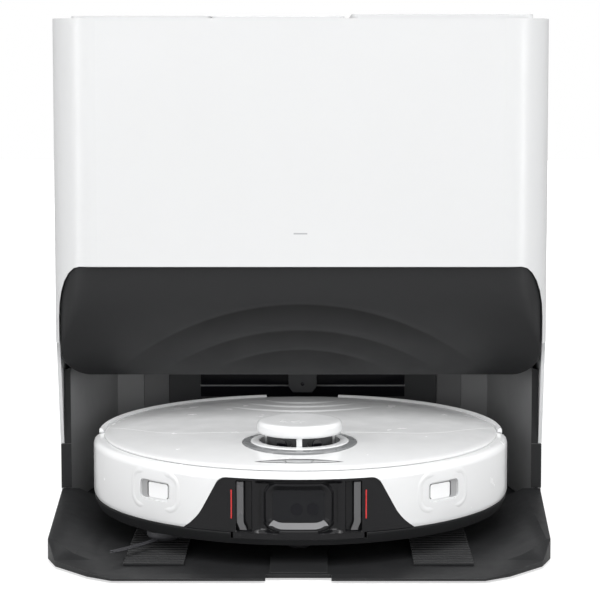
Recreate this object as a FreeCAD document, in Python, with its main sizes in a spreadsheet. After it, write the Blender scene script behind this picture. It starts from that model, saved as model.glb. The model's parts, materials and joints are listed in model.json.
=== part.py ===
import FreeCAD, Part

# Robot vacuum parked in its self-emptying, mop-washing dock.
# Frame: origin on the floor under the middle of the dock, +Z up, the front faces -Y.
# The robot's own dimensions are measured from its centre line and from its own ground.

import math
import os
import re

import Sketcher
from FreeCAD import Placement, Rotation, Vector

DIMENSIONS = {
    # dock, outside
    "dock_half": "211", "dock_front": "-56", "dock_back": "252", "dock_corner": "40",
    "rear_corner": "24", "dock_top": "428", "deck_top": "425", "shell_wall": "3",
    "panel_bottom": "152", "sweep_back": "6", "sweep_bottom": "58",
    "foot_height": "2", "tray_floor": "5", "lip_front": "-252", "lip_half": "141",
    "tray_rim": "18", "rim_inner": "195",
    # curved hood under the front panel
    "hood_top": "220", "hood_bottom": "119", "hood_half": "206.2", "hood_radius": "116",
    "hood_gap": "0.4", "hood_wall": "3", "hood_corner_wide": "20", "hood_corner_tall": "45",
    # bay that the robot parks in
    "bay_half": "205", "bay_front": "6", "bay_back": "167", "bay_top": "124",
    "bay_wall": "3", "track_middle": "112", "track_half": "23.5", "track_top": "7.6",
    "caster_ramp_top": "7.8",
    # tanks and dust compartment
    "tank_bottom": "127.5", "tank_top": "421", "tank_wall": "2.5", "tank_front": "-44",
    "tank_back": "196", "lid_front": "-47", "lid_back": "201",
    "dirty_left": "-192", "dirty_right": "-76", "dust_left": "-74", "dust_right": "37",
    "clean_left": "43", "clean_right": "195", "lid_gap": "0.4", "lid_rise": "6",
    "grip_half": "42", "grip_front": "60", "grip_back": "104", "grip_thick": "3",
    # wash tray and its brush
    "wash_half": "145", "wash_front": "10", "wash_back": "114", "wash_floor": "2.6",
    "brush_rest": "-98", "brush_half": "16", "brush_top": "8",
    # dock fan
    "fan_x": "-18", "fan_y": "62", "fan_radius": "39", "fan_floor": "146",
    # robot, outside
    "robot_y": "-48", "robot_z": "8", "robot_radius": "175", "skirt_bottom": "12",
    "skirt_top": "22.5", "bumper_bottom": "23", "shoulder_top": "70.2", "disc_bottom": "70.6",
    "disc_radius": "166", "crown_drop": "7", "rear_radius": "171", "lid_floor_top": "70.1",
    "lid_corner": "110",
    "robot_top": "79.6", "cover_wall": "2.6", "side_wall": "3.5", "hinge_half": "30",
    "hinge_low": "66", "bumper_end": "-5.5", "wall_start": "-1.5", "lid_seam": "-51",
    # robot, front sensor frame and side windows
    "frame_foot": "18.4", "frame_waist": "78.5", "frame_top_half": "61.5",
    "frame_recess": "48.6", "module_half": "35.5", "window_half": "20.1",
    "window_bottom": "31.6", "window_top": "56.5", "side_angle": "39.5", "recess_angle": "40.7",
    "side_window_half": "11", "side_window_low": "42.4", "side_window_high": "54.2",
    "side_recess_half": "16.3", "side_recess_rise": "1.8",
    # robot, turret
    "turret_y": "-88", "turret_ring": "46.5", "turret_collar": "39.6", "turret_bore": "32.5",
    "cap_radius": "34.5", "cap_bottom": "86.8", "cap_top": "96.5", "rotor_radius": "26.5",
    "rotor_top": "85.1",
    # robot, buttons
    "button_y": "-150", "button_split": "10.5", "button_slant": "1.2", "button_deep": "4",
    "button_gap": "0.35", "lens_radius": "114.5",
    # robot, running gear
    "wheel_x": "112", "wheel_radius": "33", "wheel_half": "10", "axle_radius": "3",
    "arm_pivot_y": "38", "arm_pivot_z": "32", "running_gap": "0.05",
    "caster_y": "-130", "caster_radius": "13", "caster_trail": "5", "caster_cup": "22",
    "side_brush_x": "-108", "side_brush_y": "-108", "side_brush_reach": "58",
    "roller_radius": "17", "roller_z": "18",
    "roller_front_y": "-40", "roller_rear_y": "-5", "roller_half": "75",
    "mop_front": "68", "mop_back": "150", "mop_top": "11.4", "mop_plate_bottom": "7.6",
    "mop_bottom": "5", "mop_radius": "160",
}

DOC = FreeCAD.newDocument("robot_vacuum_and_dock")
SHEET = DOC.addObject("Spreadsheet::Sheet", "Dims")
NODES = {}


def fill_sheet():
    """Write each driving dimension as a plain number with its name as alias."""
    for row, (alias, value) in enumerate(DIMENSIONS.items(), start=1):
        SHEET.set("A%d" % row, alias)
        SHEET.set("B%d" % row, value)
        SHEET.setAlias("B%d" % row, alias)
    DOC.recompute()


def value(expression):
    """The number an expression of sheet names stands for."""
    return float(SHEET.evalExpression(str(expression)))


def link(expression):
    """The same expression, with each sheet name written as a reference to the sheet."""
    def refer(word):
        name = word.group()
        return "Dims." + name if name in DIMENSIONS else name
    return re.sub(r"[a-z][a-z_]*", refer, str(expression))


def bind(item, **expressions):
    for name, expression in expressions.items():
        item.setExpression(name, link(expression))
    return item


def move(item, x=0, y=0, z=0):
    """Bind an object's position to the sheet."""
    item.setExpression("Placement.Base.x", link(x))
    item.setExpression("Placement.Base.y", link(y))
    item.setExpression("Placement.Base.z", link(z))
    return item


def node(name, item):
    """Name an object as a sub-part of the assembly."""
    item.Label = name
    NODES[name] = item
    return item


def at_robot(item):
    """Put an object modelled about the robot's own centre where the robot is parked."""
    return move(item, "0", "robot_y", "robot_z")


# ---- building blocks -------------------------------------------------------------------

def sketch(body, role, outline, offset="0"):
    """A closed outline of straight sides whose corners are bound to the sheet."""
    plane = [item for item in body.Origin.OriginFeatures if item.Role == role][0]
    flat = body.newObject("Sketcher::SketchObject", "Sketch")
    flat.AttachmentSupport = [(plane, "")]
    flat.MapMode = "FlatFace"
    flat.setExpression("AttachmentOffset.Base.z", link(offset))
    corners = [Vector(value(a), value(b), 0) for a, b in outline]
    count = len(corners)
    for i in range(count):
        flat.addGeometry(Part.LineSegment(corners[i], corners[(i + 1) % count]), False)
    for i in range(count):
        flat.addConstraint(Sketcher.Constraint("Coincident", i, 2, (i + 1) % count, 1))
    for i, (a, b) in enumerate(outline):
        for kind, expression, now in (("DistanceX", a, corners[i].x),
                                      ("DistanceY", b, corners[i].y)):
            index = flat.addConstraint(Sketcher.Constraint(kind, -1, 1, i, 1, now))
            flat.setExpression("Constraints[%d]" % index, link(expression))
    return flat


def prism(name, role, outline, low, high):
    """A body padded from an outline, between two heights along the plane's axis."""
    body = DOC.addObject("PartDesign::Body", name)
    start = "-(%s)" % high if role == "XZ_Plane" else low
    pad = body.newObject("PartDesign::Pad", "Pad")
    pad.Profile = sketch(body, role, outline, start)
    bind(pad, Length="(%s) - (%s)" % (high, low))
    DOC.recompute()
    return body


def turned(name, outline):
    """A body turned about Z from a profile of (radius, height) corners."""
    body = DOC.addObject("PartDesign::Body", name)
    profile = sketch(body, "XZ_Plane", outline)
    turn = body.newObject("PartDesign::Revolution", "Revolution")
    turn.Profile = profile
    turn.ReferenceAxis = (profile, ["V_Axis"])
    turn.Angle = 360
    DOC.recompute()
    return body


def rounded(body, radius, chosen):
    """Fillet the edges of a body for which chosen(edge) is true."""
    base = body.Tip
    edges = ["Edge%d" % (i + 1) for i, edge in enumerate(base.Shape.Edges) if chosen(edge)]
    fillet = body.newObject("PartDesign::Fillet", "Fillet")
    fillet.Base = (base, edges)
    bind(fillet, Radius=radius)
    DOC.recompute()
    return body


def along(axis):
    """A test for straight edges that run along an axis."""
    direction = Vector(*axis)

    def chosen(edge):
        if edge.Curve.TypeId != "Part::GeomLine":
            return False
        return abs(abs(edge.tangentAt(edge.FirstParameter).dot(direction)) - 1) < 1e-6
    return chosen


def near(axis, limit, side):
    """Edges along an axis whose middle is past a limit on one coordinate."""
    straight = along(axis)
    index, sign = side

    def chosen(edge):
        return straight(edge) and sign * edge.CenterOfMass[index] > sign * value(limit)
    return chosen


def box(name, x, y, z):
    """A box between two bound coordinates on each axis."""
    item = DOC.addObject("Part::Box", name)
    bind(item, Length="(%s) - (%s)" % (x[1], x[0]), Width="(%s) - (%s)" % (y[1], y[0]),
         Height="(%s) - (%s)" % (z[1], z[0]))
    return move(item, x[0], y[0], z[0])


def rod(name, radius, length, base, axis="Z"):
    """A cylinder from a base point along one axis."""
    item = DOC.addObject("Part::Cylinder", name)
    bind(item, Radius=radius, Height=length)
    turns = {"X": Rotation(Vector(0, 1, 0), 90), "Y": Rotation(Vector(1, 0, 0), -90),
             "Z": Rotation()}
    item.Placement = Placement(Vector(), turns[axis])
    return move(item, *base)


def fuse(name, *shapes):
    item = DOC.addObject("Part::MultiFuse", name)
    item.Shapes = list(shapes)
    return item


def common(name, *shapes):
    item = DOC.addObject("Part::MultiCommon", name)
    item.Shapes = list(shapes)
    return item


def cut(name, base, *tools):
    item = DOC.addObject("Part::Cut", name)
    item.Base = base
    item.Tool = tools[0] if len(tools) == 1 else fuse(name + "_tools", *tools)
    return item


def group(name, *shapes):
    """Separate identical solids that share one node."""
    item = DOC.addObject("Part::Compound", name)
    item.Links = list(shapes)
    return item


def mirrored_outline(half):
    """A left half outline, walked from the middle, completed to the right."""
    right = [("-(%s)" % a, b) for a, b in reversed(half)]
    return half + right


def slot_outline(half_width, low, high, bevel):
    """A rectangle with bevelled corners, in the XZ plane."""
    half = [("-(%s - %s)" % (half_width, bevel), low),
            ("-(%s)" % half_width, "%s + %s" % (low, bevel)),
            ("-(%s)" % half_width, "%s - %s" % (high, bevel)),
            ("-(%s - %s)" % (half_width, bevel), high)]
    return mirrored_outline(half)


# ---- dock: shell and deck --------------------------------------------------------------

def dock_block(name, inset, low, high):
    """The dock's plan shape, moved in by an inset, as a solid block."""
    side = "dock_half - %s" % inset
    outline = [("-(%s)" % side, "dock_front + %s" % inset),
               (side, "dock_front + %s" % inset),
               (side, "dock_back - %s" % inset),
               ("-(%s)" % side, "dock_back - %s" % inset)]
    block = prism(name, "XY_Plane", outline, low, high)
    rounded(block, "dock_corner - %s" % inset, near((0, 0, 1), "0", (1, -1)))
    return rounded(block, "rear_corner - %s" % inset, near((0, 0, 1), "0", (1, 1)))


def make_outer_shell():
    """White sides and back in one moulding, open at the front and swept back low down."""
    outside = dock_block("shell_outside", "0", "tray_floor", "dock_top")
    inside = dock_block("shell_inside", "shell_wall", "0", "dock_top + 1")
    front = "dock_front + dock_corner + 0.3"
    opening = prism("shell_opening", "YZ_Plane",
                    [("dock_front - 1", "0"), ("sweep_back + bay_wall + 0.3", "0"),
                     ("sweep_back + bay_wall + 0.3", "sweep_bottom"),
                     ("sweep_back", "sweep_bottom"), (front, "panel_bottom"),
                     (front, "dock_top + 1"), ("dock_front - 1", "dock_top + 1")],
                    "-dock_half - 1", "dock_half + 1")
    inlet = box("shell_inlet", ("135", "165"), ("dock_back - 5", "dock_back + 1"),
                ("34", "56"))
    node("outer_shell", cut("outer_shell", outside, inside, opening, inlet))


def make_front_panel():
    """Flat white front with round upright corners, cut away over the hood."""
    outside = dock_block("panel_outside", "0", "panel_bottom", "dock_top")
    inside = dock_block("panel_inside", "shell_wall", "0", "dock_top + 1")
    front = box("panel_region", ("-dock_half - 1", "dock_half + 1"),
                ("dock_front - 1", "dock_front + dock_corner"), ("0", "dock_top + 1"))
    window = hood_outline("panel_window", "0", "dock_front - 2", "dock_front + 60")
    light = box("panel_light_slot", ("-5.75", "5.75"), ("dock_front - 1", "-50"),
                ("247.4", "248.6"))
    sheet = cut("panel_sheet", outside, inside)
    kept = common("panel_kept", sheet, front)
    node("front_panel", cut("front_panel", kept, window, light))
    node("status_light", box("status_light", ("-5.75", "5.75"),
                             ("dock_front", "dock_front + shell_wall"), ("247.4", "248.6")))


def hood_outline(name, inset, low, high):
    """The hood seen from the front: wide, with round corners, deeper than it shows."""
    half = [("-(hood_half - %s)" % inset, "hood_bottom")]
    for angle in range(0, 91, 15):
        across = math.cos(math.radians(angle))
        up = math.sin(math.radians(angle))
        half.append(("-(hood_half - %s - hood_corner_wide * %.4f)" % (inset, 1 - across),
                     "hood_top - %s - hood_corner_tall * %.4f" % (inset, 1 - up)))
    block = prism(name, "XZ_Plane", mirrored_outline(half), low, high)
    return rounded(block, "24", near((0, 1, 0), "hood_bottom + 5", (2, -1)))


def make_hood():
    """Charcoal hood: a drum-curved face that rolls back under the front panel."""
    centre = ("-dock_half", "dock_front + 2 + hood_radius", "hood_top")
    drum = rod("hood_drum", "hood_radius", "2 * dock_half", centre, "X")
    hollow = rod("hood_hollow", "hood_radius - hood_wall", "2 * dock_half", centre, "X")
    plan = dock_block("hood_plan", "2", "hood_bottom", "hood_top")
    plan_hollow = dock_block("hood_plan_hollow", "5", "hood_bottom - 1", "hood_top + 1")
    face = hood_outline("hood_face", "hood_gap", "dock_front - 2", "dock_front + 66")
    outer = common("hood_outer", drum, plan, face)
    inner = common("hood_inner", hollow, plan_hollow)
    node("hood", cut("hood", outer, inner))


def make_top_deck():
    """Flat deck inside the rim, with wells for both tanks and the dust compartment."""
    plate = dock_block("deck_plate", "shell_wall", "tank_top + 0.6", "deck_top")
    wells = [box("deck_well_" + side, (left + " + 1.5", right + " - 1.5"),
                 ("tank_front - 1.5", "tank_back + 1.5"), ("tank_top", "deck_top + 1"))
             for side, left, right in (("dirty", "dirty_left", "dirty_right"),
                                       ("dust", "dust_left", "dust_right"),
                                       ("clean", "clean_left", "clean_right"))]
    node("top_deck", cut("top_deck", plate, *wells))


# ---- dock: base ------------------------------------------------------------------------

def base_outline(inset):
    half = [("-lip_half + %s" % inset, "lip_front"),
            ("-161 + %s" % inset, "-239"),
            ("-189 + %s" % inset, "-208"),
            ("-198 + %s" % inset, "-183"),
            ("-210 + %s" % inset, "sweep_back"),
            ("-210 + %s" % inset, "sweep_back + bay_wall"),
            ("-207 + %s" % inset, "sweep_back + bay_wall"),
            ("-207.5 + %s" % inset, "dock_back - 30"),
            ("-180 + %s" % inset, "dock_back - shell_wall - 0.5")]
    return mirrored_outline(half)


def make_base_tray():
    """Low tray with side rims, a thin front lip and an opening for the wash tray."""
    block = prism("base_block", "XY_Plane", base_outline("0"), "foot_height", "tray_rim")
    bowl = prism("base_bowl", "XZ_Plane",
                 mirrored_outline([("-(rim_inner - 45)", "tray_floor"),
                                   ("-(rim_inner - 32)", "tray_floor + 1.6"),
                                   ("-(rim_inner - 20)", "tray_floor + 4.6"),
                                   ("-(rim_inner - 9)", "tray_rim - 4"),
                                   ("-rim_inner", "tray_rim + 0.1"),
                                   ("-rim_inner", "tray_rim + 5")]),
                 "lip_front - 1", "sweep_back")
    well = box("base_well", ("-dock_half", "dock_half"), ("sweep_back - 0.3", "dock_back"),
               ("tray_floor", "tray_rim + 5"))
    slope = prism("base_slope", "YZ_Plane",
                  [("lip_front - 1", "foot_height + 1.6"), ("-236", "tray_floor + 0.6"),
                   ("-204", "tray_floor + 1.4"), ("-183", "tray_rim + 0.1"),
                   ("-183", "tray_rim + 5"), ("lip_front - 1", "tray_rim + 5")],
                  "-dock_half", "dock_half")
    notch = box("base_notch", ("-25", "25"), ("lip_front - 1", "lip_front + 9"),
                ("0", "tray_rim"))
    hole = box("base_wash_hole", ("-wash_half - 0.3", "wash_half + 0.3"),
               ("wash_front - 0.3", "wash_back + 0.3"), ("0", "tray_rim"))
    ramp = prism("caster_ramp", "YZ_Plane",
                 [("-238", "tray_floor - 0.5"), ("-238", "tray_floor + 0.2"),
                  ("-222", "caster_ramp_top"), ("-150", "caster_ramp_top"),
                  ("-150", "tray_floor - 0.5")], "-22", "22")
    tray = cut("base_pan", block, bowl, well, slope, notch, hole)
    node("base_tray", fuse("base_tray", tray, ramp))


def make_wheel_tracks():
    """Two ribbed plates that the drive wheels climb and stand on."""
    plates = []
    for side, sign in (("left", "-"), ("right", "")):
        middle = "%s1 * track_middle" % sign
        low = "%s - track_half" % middle
        high = "%s + track_half" % middle
        plate = box("track_plate_" + side, (low, high), ("-218", "2"),
                    ("tray_floor", "track_top - 1.4"))
        ribs = [box("track_rib_%s_%d" % (side, i), (low, high),
                    ("-218 + 8 * %d" % i, "-214.5 + 8 * %d" % i),
                    ("track_top - 1.6", "track_top"))
                for i in range(27)]
        plates.append(fuse("track_" + side, plate, *ribs))
    node("wheel_tracks", group("wheel_tracks", *plates))


def make_bay_liner():
    """Dark inner wall of the bay: angled sides, two upright facets a side, flanged low down."""
    inner = [("-128", "bay_back"), ("-150", "bay_back - 15"), ("-174", "bay_back - 29"),
             ("-bay_half + bay_wall", "bay_front")]
    outer = [("-bay_half", "bay_front"),
             ("-174 - bay_wall", "bay_back - 28"),
             ("-152 - bay_wall / 2", "bay_back - 12.5"),
             ("-129", "bay_back + bay_wall")]
    half = inner + outer
    right = [("-(%s)" % a, b) for a, b in half]
    outline = inner[::-1] + right[:4] + right[4:] + outer[::-1]
    wall = prism("liner_wall", "XY_Plane", outline, "tray_floor + 0.3", "bay_top")
    flanges = [box("liner_flange_" + side, span, ("bay_front", "bay_front + bay_wall"),
                   ("tray_rim + 0.3", "sweep_bottom - 0.3"))
               for side, span in (("left", ("-dock_half", "-bay_half + 1")),
                                  ("right", ("bay_half - 1", "dock_half")))]
    node("bay_liner", fuse("bay_liner", wall, *flanges))


def make_bay_ceiling():
    """Floor of the tank room, which is the ceiling over the parked robot."""
    outline = mirrored_outline([("-hood_half + 22", "4"), ("-hood_half", "26"),
                                ("-bay_half", "bay_back - 10"), ("-bay_half", "204"),
                                ("-180", "244")])
    plate = prism("bay_ceiling", "XY_Plane", outline, "bay_top", "bay_top + bay_wall")
    node("bay_ceiling", plate)


def make_bay_fittings():
    """Homing beacon on the bay's back wall, charging springs and rubber feet."""
    tab = prism("homing_beacon", "XZ_Plane",
                [("-9", "80.5"), ("9", "80.5"), ("13.3", "86"), ("13.3", "bay_top"),
                 ("-13.3", "bay_top"), ("-13.3", "86")], "141", "bay_back")
    node("homing_beacon", tab)
    springs = []
    for side, sign in (("left", "-"), ("right", "")):
        middle = "%s1 * 30" % sign
        arm = box("contact_arm_" + side, (middle + " - 6", middle + " + 6"),
                  ("129", "bay_back"), ("44", "46"))
        face = box("contact_face_" + side, (middle + " - 6", middle + " + 6"),
                   ("128", "129.5"), ("32", "46"))
        springs.append(fuse("contact_" + side, arm, face))
    node("dock_contacts", group("dock_contacts", *springs))
    feet = [rod("foot_%d" % i, "9", "foot_height", (x, y, "0"))
            for i, (x, y) in enumerate([("-168", "-205"), ("168", "-205"), ("-185", "-20"),
                                        ("185", "-20"), ("-180", "205"), ("180", "205")])]
    node("dock_feet", group("dock_feet", *feet))


def make_wash_tray():
    """Removable basin under the parked mop, with low ridges across its floor."""
    block = box("basin_block", ("-wash_half", "wash_half"), ("wash_front", "wash_back"),
                ("foot_height", "track_top - 0.1"))
    hollow = box("basin_hollow", ("-wash_half + 3", "wash_half - 3"),
                 ("wash_front + 3", "wash_back - 3"), ("wash_floor", "tray_rim"))
    node("wash_tray", cut("wash_tray", block, hollow))


def make_wash_brush():
    """Bristle block on its carriage, which travels across the basin under the mop."""
    base = box("brush_base", ("brush_rest - brush_half", "brush_rest + brush_half"),
               ("wash_front + 4", "wash_back - 4"), ("wash_floor + 0.4", "4.6"))
    rows = [box("brush_row_%d" % i, ("brush_rest - 14 + 5 * %d" % i,
                                     "brush_rest - 11 + 5 * %d" % i),
                ("wash_front + 6", "wash_back - 6"), ("4.4", "brush_top"))
            for i in range(6)]
    node("wash_brush", fuse("wash_brush", base, *rows))


# ---- dock: tanks, bag and machinery ----------------------------------------------------

def tank_profile(inset, top):
    """A tank from the side: its front foot slopes back to clear the rolled hood."""
    return [("tank_front + %s" % inset, top), ("tank_front + %s" % inset, "215"),
            ("-30 + %s" % inset, "166"), ("8 + %s" % inset, "tank_bottom + %s" % inset),
            ("tank_back - %s" % inset, "tank_bottom + %s" % inset),
            ("tank_back - %s" % inset, top)]


def make_tank(kind, left, right, lid_top):
    """A tall open tank, its lid with a recessed grip, and the folding bail handle."""
    block = prism(kind + "_block", "YZ_Plane", tank_profile("0", "tank_top"),
                  left + " + 3", right + " - 3")
    hollow = prism(kind + "_hollow", "YZ_Plane", tank_profile("tank_wall", "tank_top + 1"),
                   left + " + 3 + tank_wall", right + " - 3 - tank_wall")
    node(kind + "_tank", cut(kind + "_tank", block, hollow))
    middle = "(%s + %s) / 2" % (left, right)
    neck = box(kind + "_neck", (left + " + 3", right + " - 3"),
               ("tank_front", "tank_back"), ("tank_top", "deck_top + lid_gap"))
    plate = prism(kind + "_plate", "XY_Plane",
                  [(left, "lid_front"), (right, "lid_front"), (right, "lid_back"),
                   (left, "lid_back")], "deck_top + lid_gap", lid_top)
    rounded(plate, "6", along((0, 0, 1)))
    pocket = box(kind + "_pocket", ("%s - grip_half - 0.6" % middle,
                                    "%s + grip_half + 0.6" % middle),
                 ("grip_front - 12", "grip_back + 4"),
                 ("%s - grip_thick - 0.7" % lid_top, "%s + 1" % lid_top))
    bores = rod(kind + "_bores", "1 + running_gap", "2 * grip_half + 8",
                ("%s - grip_half - 4" % middle, "grip_back",
                 "%s - grip_thick / 2 - 0.2" % lid_top), "X")
    node(kind + "_tank_lid", cut(kind + "_tank_lid", fuse(kind + "_cover", neck, plate),
                                 pocket, bores))
    make_bail(kind, middle, "%s - grip_thick / 2 - 0.2" % lid_top)


def make_bail(kind, middle, height):
    """U-shaped handle that lies in the lid's recess and swings up about its pins."""
    low = "%s - grip_thick / 2" % height
    high = "%s + grip_thick / 2" % height
    arms = []
    for side, sign in (("left", "-"), ("right", "+")):
        outer = "%s %s grip_half" % (middle, sign)
        inner = "%s %s (grip_half - 6)" % (middle, sign)
        span = (outer, inner) if sign == "-" else (inner, outer)
        arms.append(box(kind + "_arm_" + side, span, ("grip_front", "grip_back"),
                        (low, high)))
        start = outer if sign == "-" else inner
        arms.append(rod(kind + "_knuckle_" + side, "grip_thick / 2", "6",
                        (start, "grip_back", height), "X"))
        pin = "%s %s (grip_half + 1.25)" % (middle, sign)
        arms.append(rod(kind + "_pin_" + side, "1", "3.5",
                        ("%s - 1.75" % pin, "grip_back", height), "X"))
    grip = box(kind + "_grip", ("%s - grip_half" % middle, "%s + grip_half" % middle),
               ("grip_front - 9", "grip_front"), (low, high))
    node(kind + "_tank_handle", fuse(kind + "_tank_handle", grip, *arms))


def make_dust_room():
    """Hinged cover over the dust compartment, and the paper bag inside it."""
    cover = prism("dust_cover", "XY_Plane",
                  [("dust_left", "lid_front"), ("dust_right", "lid_front"),
                   ("dust_right", "lid_back"), ("dust_left", "lid_back")],
                  "deck_top + lid_gap", "deck_top + 5")
    node("dust_cover", rounded(cover, "6", near((0, 0, 1), "0", (1, -1))))
    bag = prism("dust_bag", "XY_Plane",
                [("dust_left + 8", "-34"), ("dust_right - 8", "-34"),
                 ("dust_right - 8", "150"), ("dust_left + 8", "150")], "252", "405")
    node("dust_bag", rounded(bag, "14", lambda edge: True))


def make_dock_fan():
    """Suction fan under the bag: a round housing with an impeller on a short shaft."""
    place = ("fan_x", "fan_y")
    shell = rod("fan_shell", "fan_radius + 8", "62", place + ("fan_floor",))
    room = rod("fan_room", "fan_radius + 4", "62", place + ("fan_floor + 6",))
    bore = rod("fan_bore", "4 + running_gap", "8", place + ("fan_floor + 1",))
    eye = rod("fan_eye", "20", "8", place + ("fan_floor + 56",))
    roof = rod("fan_roof", "fan_radius + 4.2", "4", place + ("fan_floor + 57.9",))
    cup = cut("fan_cup", shell, room, bore)
    node("dock_fan_housing", fuse("dock_fan_housing", cup, cut("fan_ring", roof, eye)))
    disc = rod("impeller_disc", "fan_radius", "3", place + ("fan_floor + 9",))
    hub = rod("impeller_hub", "9", "34", place + ("fan_floor + 9",))
    shaft = rod("impeller_shaft", "4", "8", place + ("fan_floor + 2",))
    blades = []
    for i in range(9):
        blade = box("impeller_blade_%d" % i, ("6", "fan_radius - 1"), ("-1", "1"), ("0", "28"))
        blade.Placement.Rotation = Rotation(Vector(0, 0, 1), 40 * i)
        angle = math.radians(40 * i)
        offset = Vector(6 * math.cos(angle) + math.sin(angle),
                        6 * math.sin(angle) - math.cos(angle), 0)
        move(blade, "fan_x + %.4f" % offset.x, "fan_y + %.4f" % offset.y, "fan_floor + 11.8")
        blades.append(blade)
    node("dock_fan", fuse("dock_fan", disc, hub, shaft, *blades))


def make_dock_machinery():
    """Water pump, control board and power inlet in the space behind the tanks."""
    motor = rod("pump_motor", "16", "48", ("70", "222", "150"), "X")
    head = box("pump_head", ("52", "70.5"), ("204", "240"), ("132", "168"))
    node("water_pump", fuse("water_pump", motor, head))
    board = box("board_plate", ("-70", "60"), ("234", "235.6"), ("40", "118"))
    chips = [box("board_chip_%d" % i, ("-58 + 30 * %d" % i, "-40 + 30 * %d" % i),
                 ("229", "234.1"), ("60", "84")) for i in range(4)]
    node("dock_board", fuse("dock_board", board, *chips))
    inlet = box("inlet_block", ("135", "165"), ("232", "dock_back"), ("34", "56"))
    recess = box("inlet_recess", ("139", "161"), ("238", "dock_back + 1"), ("38", "52"))
    prongs = [box("inlet_prong_%d" % i, (x, x + " + 2"), ("237.8", "248"), ("42", "48"))
              for i, x in enumerate(("144", "154"))]
    node("power_inlet", fuse("power_inlet", cut("inlet_socket", inlet, recess), *prongs))


# ---- robot: shells ---------------------------------------------------------------------

def crown(lower):
    """Corners of the crowned top from the rim inwards, lowered by a distance."""
    radii = (164.5, 160, 153, 145, 135, 122, 106, 86, 60, 0)
    return [(str(radius), "robot_top - %s - crown_drop * (%s / disc_radius) ^ 4"
             % (lower, radius)) for radius in radii]


def disc_shell(name):
    """The crowned top disc of the robot, a thin shell that overhangs the bumper's top."""
    inner = [("disc_radius - 3", "disc_bottom")] + crown("cover_wall")[2:]
    rim = [("disc_radius", "disc_bottom + 1.2"), ("disc_radius", "disc_bottom")]
    return turned(name, inner[::-1] + rim[::-1] + crown("0"))


def lid_region(name, gap):
    """Everything behind the lid's seam, which turns back at 45 degrees at each side."""
    half = [("-200", "200"), ("-200", "lid_seam + %s + 200 - lid_corner" % gap),
            ("-lid_corner", "lid_seam + %s" % gap)]
    block = prism(name, "XY_Plane", mirrored_outline(half), "60", "90")
    return rounded(block, "60", near((0, 0, 1), "lid_seam + 10", (1, -1)))


def half_space(name, low, high, bottom="0", top="120"):
    """A block across the whole robot between two distances from its centre."""
    return box(name, ("-200", "200"), (low, high), (bottom, top))


def ring(name, inner, outer, low, high):
    return turned(name, [(inner, low), (outer, low), (outer, high), (inner, high)])


def make_chassis():
    """Dark floor pan with a bevelled skirt, wells for the running gear and brackets."""
    pan = turned("pan", [("0", "skirt_bottom"), ("165", "skirt_bottom"),
                         ("171", "skirt_bottom + 1.4"), ("174.4", "skirt_top - 2"),
                         ("174.4", "skirt_top"), ("170.6", "skirt_top"),
                         ("168.6", "skirt_bottom + 4"), ("164.4", "skirt_bottom + 2.5"),
                         ("0", "skirt_bottom + 2.5")])
    adds = [rod("caster_tower", "caster_cup + 4", "28", ("0", "caster_y", "12"))]
    cuts = [rod("caster_room", "caster_cup + 0.6", "24.4", ("0", "caster_y", "11")),
            rod("caster_bore", "5 + running_gap", "20", ("0", "caster_y", "30")),
            rod("side_brush_bore", "4 + running_gap", "20",
                ("side_brush_x", "side_brush_y", "10")),
            rod("mop_bore", "5 + running_gap", "20", ("0", "100", "10")),
            box("brush_mouth", ("-80.6", "80.6"), ("-60", "15"), ("10", "14.6")),
            box("skirt_notch", ("-frame_recess - 4", "frame_recess + 4"),
                ("-180", "-157"), ("frame_foot - 0.4", "skirt_top + 1"))]
    adds.append(rod("side_brush_boss", "8", "9", ("side_brush_x", "side_brush_y", "14")))
    adds.append(rod("mop_boss", "9", "9", ("0", "100", "14")))
    for side, sign in (("left", "-"), ("right", "")):
        cuts.append(box("wheel_well_" + side,
                        sorted(["%s95" % sign, "%s126" % sign], key=float),
                        ("-38", "48"), ("10", "16")))
        ear = sorted(["%s87" % sign, "%s93" % sign], key=float)
        adds.append(box("arm_ear_" + side, ear, ("28", "48"), ("14", "42")))
        cuts.append(rod("arm_bore_" + side, "4 + running_gap", "10",
                        (min(ear, key=float) + " - 2", "arm_pivot_y", "arm_pivot_z"), "X"))
        cheek = sorted(["%s77" % sign, "%s83.5" % sign], key=float)
        adds.append(box("roller_cheek_" + side, cheek, ("-58", "13"), ("14", "34")))
        for which in ("front", "rear"):
            cuts.append(rod("roller_bore_%s_%s" % (side, which), "3 + running_gap", "12",
                            (min(cheek, key=float) + " - 3", "roller_%s_y" % which,
                             "roller_z"), "X"))
    body = cut("chassis", fuse("chassis_blank", pan, *adds), *cuts)
    node("chassis", at_robot(body))


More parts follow.
